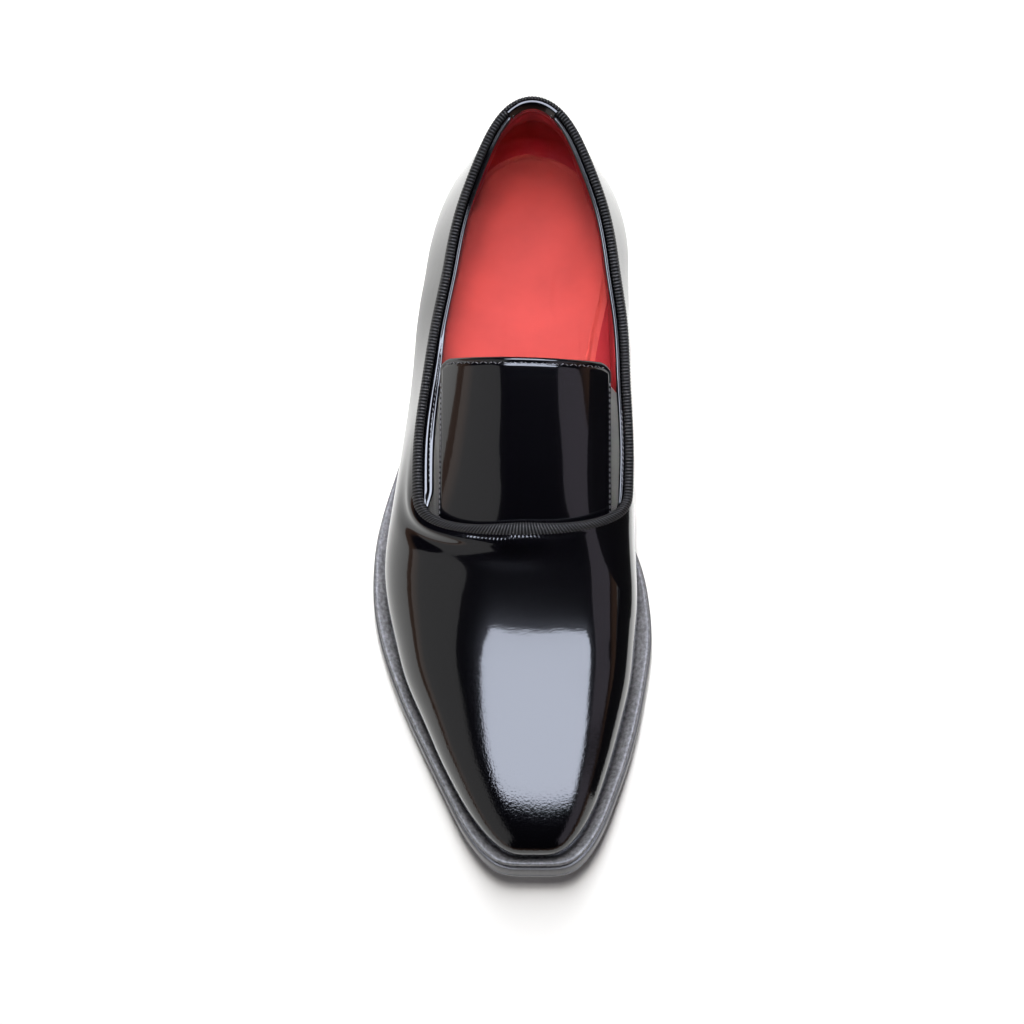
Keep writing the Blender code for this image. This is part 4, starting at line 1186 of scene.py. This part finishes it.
class LOAFER_OT_ribbon(bpy.types.Operator):
    """Ribbed ribbon folded over the edge of the collar and throat"""
    bl_idname = "loafer.ribbon"
    bl_label = "Ribbon"

    def execute(self, context):
        sizes = context.scene.loafer_sizes
        ribs = round(RIM_LINE.total / mm(sizes.rib_pitch))
        length = np.linspace(0.0, RIM_LINE.total, RIB_STEPS * ribs + 1)
        edge, normal, past = RIM_LINE.at(length)[1:]
        middle = edge - normal * WALL / 2 + past * (GAP + BINDING - RIBBON_FOLD / 2)
        turn = np.linspace(0.0, 2 * math.pi, RIBBON_STEPS)
        out, over = (
            np.sign(way) * np.abs(way) ** (2 / RIBBON_SQUARE) * size / 2
            for way, size in ((np.cos(turn), BINDING), (np.sin(turn), RIBBON_FOLD)))
        valley = 1.0 - np.abs(np.cos(math.pi * ribs * length / RIM_LINE.total))
        grow = (1.0 - mm(sizes.rib_depth) / (BINDING / 2) * valley ** 2)[:, None]
        points = (middle[:, None] + normal[:, None] * (grow * out)[:, :, None]
                  + past[:, None] * (grow * over)[:, :, None])
        bm = lay_grid(points, (RIM_LINE.total * MM, math.pi * BINDING * MM))
        finish = finish_named(context, "ribbon_finish", ribbon_finish, RIM_LINE.total * MM / ribs)
        add_piece("ribbon", bm, finish, "ribbon", "collar_binding")
        return {"FINISHED"}


def rounded_drop(share, thick, radius):
    """How far a strip's top falls at its two rounded edges, by share of its thickness."""
    drop = 0.0
    for from_edge in (share * thick, (1.0 - share) * thick):
        reach = np.clip(radius - from_edge, 0.0, radius)
        drop = drop + radius - np.sqrt(radius ** 2 - reach ** 2)
    return drop


def facing_drop(share, thick):
    """How far the facing's top falls: rounded edges, full where it is thin, and a groove."""
    radius = FACING_EDGE + (thick / 2 - FACING_EDGE) * smooth_step(*FACING_FULL, thick)
    wide = smooth_step(*FACING_SPLIT, thick)
    drop = rounded_drop(share, thick, radius)
    for part, (depth, middle, reach) in ((wide, WIDE_GROOVE), (1.0 - wide, THIN_GROOVE)):
        drop = drop + depth * part * hump(share, middle, reach)
    return drop


class LOAFER_OT_facing(bpy.types.Operator):
    """Patent facing inside the ribbon, and the tab folded over it at the heel"""
    bl_idname = "loafer.facing"
    bl_label = "Facing and tab"

    def execute(self, context):
        last = LATERAL_END + FACING_RUN
        length = np.linspace(*RIM_LINE.length_at(np.array([-last, last])), FACING_STEPS)
        place, edge, normal, past = RIM_LINE.at(length)
        dive = smooth_step(LATERAL_END - FACING_END, last, np.abs(place))[:, None]
        past_tab, within_tab = (TAB_WIDTH / 2 + step for step in TAB_COVER)
        covered = smooth_step(past_tab, within_tab, np.abs(length))[:, None]
        thick = FACING_THICK(place)[:, None] * (1.0 - FACING_THIN * dive - FACING_THIN * covered)
        share = (1.0 - np.cos(np.linspace(0.0, math.pi, FACING_ROWS))) / 2
        count = len(FACING_LEGS)
        legs = np.repeat(np.array([FACING_LEGS]), len(place), axis=0)
        drop = np.concatenate([legs, facing_drop(share[None, :], thick), legs[:, ::-1]], axis=1)
        inside = FACING_OUT + thick * np.concatenate([np.zeros(count), share, np.ones(count)])
        inside[:, :count] = FACING_BACK
        over = FACING_TOP - FACING_DIVE * dive - FACING_SINK * covered - drop
        points = (edge[:, None] - normal[:, None] * inside[:, :, None]
                  + past[:, None] * over[:, :, None])
        finish = patent(context, "polished_edge_finish", EDGE_COAT)
        add_piece("facing", lay_strip(points), finish, "patent", "collar_facing")
        self.tab(context)
        return {"FINISHED"}

    def tab(self, context):
        """The tab: a leg inside the facing, a bend and a crest over its top."""
        length = np.linspace(-TAB_WIDTH / 2, TAB_WIDTH / 2, TAB_STEPS)
        edge, normal, past = RIM_LINE.at(length)[1:]
        bend_in, bend_up = TAB_BEND
        bends = np.linspace(0.0, math.radians(TAB_BEND_TURN), TAB_BEND_STEPS)
        crests = np.radians(np.linspace(*TAB_CREST_TURN, TAB_CREST_STEPS))
        rows = []
        for skin, way in ((0.0, 1), (TAB_SKIN, -1)):
            leg = [(TAB_INSIDE - skin, TAB_TOP - TAB_LEG + high) for high in TAB_LEG_ROWS]
            bend = [(TAB_INSIDE - bend_in + (bend_in - skin) * math.cos(turn),
                     TAB_TOP - TAB_BEND_DROP + (bend_up - skin) * math.sin(turn)) for turn in bends]
            crest = [(TAB_CREST + (TAB_ROUND - skin) * math.sin(turn),
                      TAB_TOP - TAB_ROUND + (TAB_ROUND - skin) * math.cos(turn)) for turn in crests]
            rows += (leg + bend + crest)[::way]
        points = np.stack([edge - normal * depth + past * over for depth, over in rows], axis=1)
        add_piece("tab", lay_strip(points), patent(context), "patent", "heel_tab")


def tongue_face(across, along):
    """Points and unit normals of the tongue's outer face."""
    def face(shift_across, shift_along):
        return tongue_height(across + shift_across, along + shift_along)

    slope = np.stack([face(-NUDGE, 0) - face(NUDGE, 0), face(0, -NUDGE) - face(0, NUDGE),
                      np.full(across.shape, 2 * NUDGE)], axis=-1)
    return np.stack([across, along, face(0, 0)], axis=-1), unit(slope)


def tongue_across(part, along):
    """Across of the tongue by part of its half width; the lateral edge flares towards the vamp."""
    flare = TONGUE_FLARE * smooth_step(*FLARE_RUN, along)
    return TONGUE_MID + TONGUE_HALF * part - flare * np.clip(-part, 0.0, 1.0) ** 3


class LOAFER_OT_tongue(bpy.types.Operator):
    """Patent tongue with turned, stitched edges, and its red lining"""
    bl_idname = "loafer.tongue"
    bl_label = "Tongue"

    def execute(self, context):
        groove = mm(context.scene.loafer_sizes.seam_groove)
        part = np.sin(np.linspace(-math.pi / 2, math.pi / 2, TONGUE_COLUMNS))[:, None]
        run = (np.linspace(0.0, 1.0, TONGUE_ROWS) ** TONGUE_CROWD)[None, :]
        tip = tongue_tip(part)
        along = tip + (TONGUE_ROOT - tip) * run
        face, normal = tongue_face(tongue_across(part, along), along)
        from_side = TONGUE_HALF * (1.0 - np.abs(part)) * SIDE_RUN
        from_tip = (along - tip) * TIP_RUN
        bend = sum(
            (1.0 - np.clip(distance / TONGUE_ROUND, 0.0, 1.0)) ** 2
            for distance in (from_side, from_tip, TONGUE_ROOT - along))
        half = TONGUE_THICK / 2 * np.sqrt(np.clip(1.0 - bend, 0.0, 1.0))
        seam = np.maximum(hump(from_side, *SIDE_SEAM) * smooth_step(*SEAM_CLEAR, from_tip),
                          hump(from_tip, *TIP_SEAM) * smooth_step(*SEAM_CLEAR, from_side))
        top = face - normal * (TONGUE_THICK / 2 - half + groove * seam)[:, :, None]
        low = face - normal * (TONGUE_THICK / 2 + half)[:, :, None]
        skin = close_section(np.concatenate([top, low[:, ::-1]], axis=1))
        add_piece("tongue_skin", lay_grid(skin), patent(context), "patent", "tongue")
        kept = np.abs(part[:, 0]) < UNDER_PART
        columns, rows = UNDER_SKIP
        upper, lower = (
            (face - normal * (TONGUE_THICK + depth))[kept][::columns, UNDER_ROW::rows]
            for depth in (UNDER_TOP, UNDER_LOW))
        sheet = np.concatenate([upper, lower[:, ::-1]], axis=1)
        add_piece("tongue_lining", lay_strip(sheet), finish_named(context, "lining_finish"), "sock")
        return {"FINISHED"}


class LOAFER_OT_gores(bpy.types.Operator):
    """Woven elastic strips between the tongue's edges and the quarters"""
    bl_idname = "loafer.gores"
    bl_label = "Gores"

    def execute(self, context):
        finish = finish_named(context, "elastic_finish", elastic_finish)
        along = np.linspace(GORE_BACK, GORE_FRONT + GORE_UNDER, GORE_STEPS)
        low = COLLAR_HEIGHT(along) - GORE_LOW
        hem_end, hem_full = (GORE_BACK + run for run in GORE_HEM_RUN)
        hem = GORE_HEM * smooth_step(hem_end, hem_full, along)
        for side, rim, name in ((-1, COLLAR_LAT, "gore_lateral"), (1, COLLAR_MED, "gore_medial")):
            inner = TONGUE_MID + side * (TONGUE_HALF - GORE_LAP)
            outer = rim(along) - side * (WALL + GORE_INSIDE)
            high = tongue_height(np.full(along.shape, inner), along) - TONGUE_THICK - GORE_DROP
            rows = []
            for rise, way in ((hem, 1), (-GORE_DEPTH, -1)):
                for share in np.linspace(0.0, 1.0, GORE_ROWS)[::way]:
                    crown = 4 * GORE_CROWN * share * (1 - share)
                    rows.append(np.stack([inner + (outer - inner) * share, along,
                                          high + (low - high) * share + crown + rise], axis=1))
            bm = lay_strip(np.stack(rows, axis=1), ((along[-1] - along[0]) * MM, GORE_SPREAD))
            add_piece(name + "_cloth", bm, finish, "elastic", name)
        return {"FINISHED"}


class LOAFER_OT_welt(bpy.types.Operator):
    """Grained welt with a rounded rim and a groove beside the upper"""
    bl_idname = "loafer.welt"
    bl_label = "Welt"

    def execute(self, context):
        edge = inset_loop(closed_loop(SOLE, WELT_STEPS), WELT_OUT)
        outer = lean_back(edge, SOLE_THICK + WELT_THICK)
        inner = inset_loop(feather_loop(WELT_STEPS), WELT_SEAT)
        rows = [
            lift(inset_loop(outer, inset), sole_top, GAP + rise)
            for inset, rise in WELT_RIM]
        first, last = rows[-1], lift(inner, welt_top)
        depth, middle, reach = WELT_GROOVE
        for share in np.linspace(0.0, 1.0, WELT_ROWS)[1:]:
            row = first + (last - first) * share
            row[:, 2] -= depth * hump(share, middle, reach)
            rows.append(row)
        rows.append(lift(inner, sole_top, GAP))
        points = close_round(close_section(np.stack(rows, axis=1)))
        finish = finish_named(context, "welt_finish")
        add_piece("welt_strip", lay_grid(points), finish, "welt", "welt")
        return {"FINISHED"}


class LOAFER_OT_sole(bpy.types.Operator):
    """Outsole with a grooved edge, and the stacked heel under it"""
    bl_idname = "loafer.sole"
    bl_label = "Outsole and heel"

    def execute(self, context):
        finish = finish_named(context, "sole_finish")
        loop = closed_loop(SOLE, SOLE_STEPS)
        stack = [
            lift(lean_back(inset_loop(loop, inset), rise), sole_bottom, rise)
            for inset, rise in SOLE_EDGE]
        unit_sections = slab_sections(stack, SOLE_ACROSS)
        add_piece("outsole_unit", lay_grid(unit_sections), finish, "sole", "outsole")
        dense = closed_loop(SOLE, DENSE)
        half = len(dense) // 2
        part = np.linspace(0.0, 1.0, HEEL_STEPS)
        lateral, medial = (
            by_length(line[line[:, 1] < HEEL_BREAST], part)
            for line in (dense[:half + 1], np.vstack([dense[:1], dense[:half - 1:-1]])))
        outline = np.vstack([lateral, medial[:0:-1]])
        rings = []
        for inset, height in HEEL_EDGE:
            ring = inset_loop(outline, inset)
            ring[:, 1] = np.minimum(ring[:, 1], HEEL_BREAST - inset)
            rings.append(np.column_stack([ring, np.full(len(ring), height)]))
        bm = lay_grid(close_round(np.stack(rings, axis=1)))
        bmesh.ops.holes_fill(bm, edges=bm.edges[:], sides=0)
        add_piece("heel_block", bm, finish, "sole", "heel")
        return {"FINISHED"}


class LOAFER_OT_stitches(bpy.types.Operator):
    """Stitches of the tongue, the facing and the tab's ends"""
    bl_idname = "loafer.stitches"
    bl_label = "Stitches"

    def execute(self, context):
        sizes = context.scene.loafer_sizes
        pitch, width = mm(sizes.stitch_pitch), sizes.stitch_width
        size = (sizes.stitch_pitch * STITCH_FILL, width, width * STITCH_FLAT)
        finish = finish_named(context, "thread_finish")
        bm = bmesh.new()
        self.on_tongue(bm, pitch, size)
        add_piece("tongue_stitches", bm, finish, "patent")
        bm = bmesh.new()
        self.on_facing(bm, pitch, size)
        ends = TAB_WIDTH / 2 - BAR_IN
        edge, normal, past = RIM_LINE.at(np.array([-ends, ends]))[1:]
        for depth, over in BAR_PLACES:
            points = edge - normal * (TAB_INSIDE + depth) + past * (TAB_TOP + over)
            stitch_row(bm, points, past, -normal, (BAR_LENGTH, width * BAR_WIDE, width))
        add_piece("collar_stitches", bm, finish, "patent")
        return {"FINISHED"}

    def on_tongue(self, bm, pitch, size):
        """Rows along the tongue's two sides, and one along its tip."""
        from_tip, from_root = STITCH_ENDS
        for side in (-1, 1):
            along = np.linspace(TONGUE_TIP + from_tip, TONGUE_ROOT - from_root, SIDE_STEPS)
            part = side * (1.0 - SIDE_SEAM[0] / SIDE_RUN / TONGUE_HALF)
            self.line(bm, tongue_across(np.full(along.shape, part), along), along, pitch, size)
        part = np.linspace(-TIP_PART, TIP_PART, TIP_STEPS)
        along = tongue_tip(part) + TIP_SEAM[0] / TIP_RUN
        self.line(bm, tongue_across(part, along), along, pitch, size, TIP_ZIGZAG)

    def on_facing(self, bm, pitch, size):
        """A row in the facing's groove near its two ends."""
        ends = np.array([MEDIAL_START - 1.0 + FACING_END, LATERAL_END - FACING_END])
        start, end = RIM_LINE.length_at(ends)
        length = np.arange(start + COLLAR_CLEAR, end - COLLAR_CLEAR, pitch)
        place = RIM_LINE.at(length)[0]
        length = length[(place < COLLAR_SEAM[0]) | (place > COLLAR_SEAM[1])]
        place, edge, normal, past = RIM_LINE.at(length)
        thick = FACING_THICK(place)
        share = np.where(place > 0.0, COLLAR_SHARE[1], COLLAR_SHARE[0])
        points = (edge - normal * (FACING_OUT + thick * share)[:, None]
                  + past * (FACING_TOP - facing_drop(share, thick) + COLLAR_PROUD)[:, None])
        before, after = (
            RIM_LINE.at(length + step)[1] for step in (-COLLAR_NUDGE, COLLAR_NUDGE))
        stitch_row(bm, points, unit(after - before) - normal * COLLAR_SLANT, past, size)

    def line(self, bm, across, along, pitch, size, zigzag=0.0):
        """Stitches on the tongue's face along a plan line, turned by turns to each side."""
        points, normal = tongue_face(across, along)
        length = lengths_of(points)
        at = np.arange(pitch, length[-1] - pitch / 2, pitch)
        point, up = points_at(points, length, at), points_at(normal, length, at)
        before, after = (
            points_at(points, length, at + step) for step in (-STITCH_NUDGE, STITCH_NUDGE))
        ahead = unit(after - before)
        beside = np.cross(up, ahead) * (zigzag * (-1.0) ** np.arange(len(at)))[:, None]
        stitch_row(bm, point + up * STITCH_PROUD, ahead + beside, up, size)


def stage_thing(name, bm, finish):
    """Makes a bmesh a thing of the stage, which isn't part of the shoe."""
    thing = new_thing(name, bm, finish)
    return thing


def gloss_thing(name, bm, finish):
    """A thing of the stage that is seen only in the gloss."""
    thing = stage_thing(name, bm, finish)
    thing.visible_camera = False
    thing.visible_diffuse = False
    thing.visible_shadow = False


def glow(name, colour, strength):
    """An evenly bright face."""
    return new_finish(name, (0.0, 0.0, 0.0), {
        "Emission Color": (*colour, 1.0), "Emission Strength": strength,
        "Specular IOR Level": 0.0, "Roughness": 1.0})[0]


def at_place(place, size):
    """Where a shape of size 1 goes, and its size there."""
    return Matrix.Translation(place) @ Matrix.Diagonal((*size, 1.0))


def area_light(name, place, aim, size, radiance, colour, spread, in_gloss):
    """A soft panel of light of an even radiance, not seen by the camera."""
    data = bpy.data.lights.new(name, "AREA")
    data.shape = "RECTANGLE"
    data.size, data.size_y = size
    data.energy = radiance * math.pi * size[0] * size[1]
    data.color = colour
    data.spread = math.radians(spread)
    panel = bpy.data.objects.new(name, data)
    panel.location = place
    panel.rotation_euler = (Vector(aim) - Vector(place)).to_track_quat("-Z", "Y").to_euler()
    panel.visible_camera = False
    panel.visible_glossy = in_gloss
    bpy.context.scene.collection.objects.link(panel)


class LOAFER_OT_stage(bpy.types.Operator):
    """Pale floor, soft studio light and the camera"""
    bl_idname = "loafer.stage"
    bl_label = "Stage"

    def execute(self, context):
        bm = bmesh.new()
        bmesh.ops.create_grid(bm, x_segments=8, y_segments=8, size=FLOOR_HALF)
        stage_thing("floor", bm, finish_named(context, "floor_finish"))
        self.gloss()
        self.room(context.scene)
        for light in LIGHTS:
            area_light(*light)
        self.camera(context.scene)
        return {"FINISHED"}

    def gloss(self):
        """Glowing table top round the shoe, seen only in the gloss as a painted reflection of the
        floor, dark blocks beside its medial side, and softboxes.
        """
        bm = bmesh.new()
        for place, size in FLOOR_REFLECTION_PARTS:
            bmesh.ops.create_grid(bm, x_segments=1, y_segments=1, size=0.5,
                                  matrix=at_place((*place, FLOOR_REFLECTION_RISE), (*size, 1.0)))
        # painted reflection: this glowing table top, seen only in the gloss, stands for the floor
        gloss_thing("table", bm, glow("table_finish", FLOOR_REFLECTION_COLOUR, FLOOR_REFLECTION_GLOW))
        bm = bmesh.new()
        for place, size in CARD_BLOCKS:
            bmesh.ops.create_cube(bm, size=1.0, matrix=at_place(place, size))
        gloss_thing("card", bm, new_finish("card_finish", CARD_COLOUR, {"Roughness": 0.9})[0])
        for name, place, size, corner, strength in SOFTBOXES:
            bm = bmesh.new()
            bmesh.ops.create_grid(bm, x_segments=1, y_segments=1, size=0.5,
                                  matrix=at_place(place, (*size, 1.0)))
            bmesh.ops.bevel(bm, geom=bm.verts[:], offset=corner, offset_type="OFFSET",
                            affect="VERTICES", segments=8, profile=0.5, material=-1)
            gloss_thing(name, bm, glow(name + "_finish", SOFTBOX_COLOUR, strength))

    def room(self, scene):
        """Dark room with a brown horizon for the gloss, white behind the shoe for the camera."""
        world = bpy.data.worlds.new("studio")
        world.use_nodes = True
        tree = world.node_tree
        way = add_node(tree, "ShaderNodeTexCoord").outputs["Generated"]
        up = add_node(tree, "ShaderNodeSeparateXYZ", {"Vector": way}).outputs["Z"]
        seen = add_node(tree, "ShaderNodeLightPath").outputs["Is Camera Ray"]
        dark = ramp_between(tree, up, *HORIZON)
        mix = add_node(tree, "ShaderNodeMixRGB", {
            "Fac": seen, "Color1": dark, "Color2": (1.0, 1.0, 1.0, 1.0)})
        tree.links.new(mix.outputs[0], tree.nodes["Background"].inputs["Color"])
        scene.world = world
        scene.view_settings.view_transform = "Standard"

    def camera(self, scene):
        data = bpy.data.cameras.new("camera")
        data.sensor_width = CAMERA_SENSOR
        data.lens = CAMERA_LENS
        camera = bpy.data.objects.new("camera", data)
        camera.location = CAMERA_PLACE
        turn = Matrix.Rotation(CAMERA_TILT, 3, "X") @ Matrix.Rotation(CAMERA_TURN, 3, "Y")
        camera.rotation_euler = turn.to_euler()
        scene.collection.objects.link(camera)
        scene.camera = camera


OPERATORS = (
    LOAFER_OT_upper, LOAFER_OT_lining, LOAFER_OT_sock, LOAFER_OT_ribbon, LOAFER_OT_facing,
    LOAFER_OT_tongue, LOAFER_OT_gores, LOAFER_OT_welt, LOAFER_OT_sole, LOAFER_OT_stitches,
    LOAFER_OT_stage)


class LOAFER_PT_panel(bpy.types.Panel):
    """Lists the loafer's pieces, sizes and colours"""
    bl_label = "Loafer"
    bl_idname = "LOAFER_PT_panel"
    bl_space_type = "VIEW_3D"
    bl_region_type = "UI"
    bl_category = "Loafer"

    def draw(self, context):
        for operator in OPERATORS:
            self.layout.operator(operator.bl_idname)
        for group in (context.scene.loafer_sizes, context.scene.loafer_colours):
            column = self.layout.column(align=True)
            for name in group.__annotations__:
                column.prop(group, name)


CLASSES = (LoaferSizes, LoaferColours, *OPERATORS, LOAFER_PT_panel)


def register():
    for item in CLASSES:
        bpy.utils.register_class(item)
    bpy.types.Scene.loafer_sizes = PointerProperty(type=LoaferSizes)
    bpy.types.Scene.loafer_colours = PointerProperty(type=LoaferColours)


def unregister():
    del bpy.types.Scene.loafer_colours
    del bpy.types.Scene.loafer_sizes
    for item in reversed(CLASSES):
        bpy.utils.unregister_class(item)


def main():
    register()
    bpy.ops.loafer.upper()
    bpy.ops.loafer.lining()
    bpy.ops.loafer.sock()
    bpy.ops.loafer.ribbon()
    bpy.ops.loafer.facing()
    bpy.ops.loafer.tongue()
    bpy.ops.loafer.gores()
    bpy.ops.loafer.welt()
    bpy.ops.loafer.sole()
    bpy.ops.loafer.stitches()
    bpy.ops.loafer.stage()


if __name__ == "__main__":
    main()
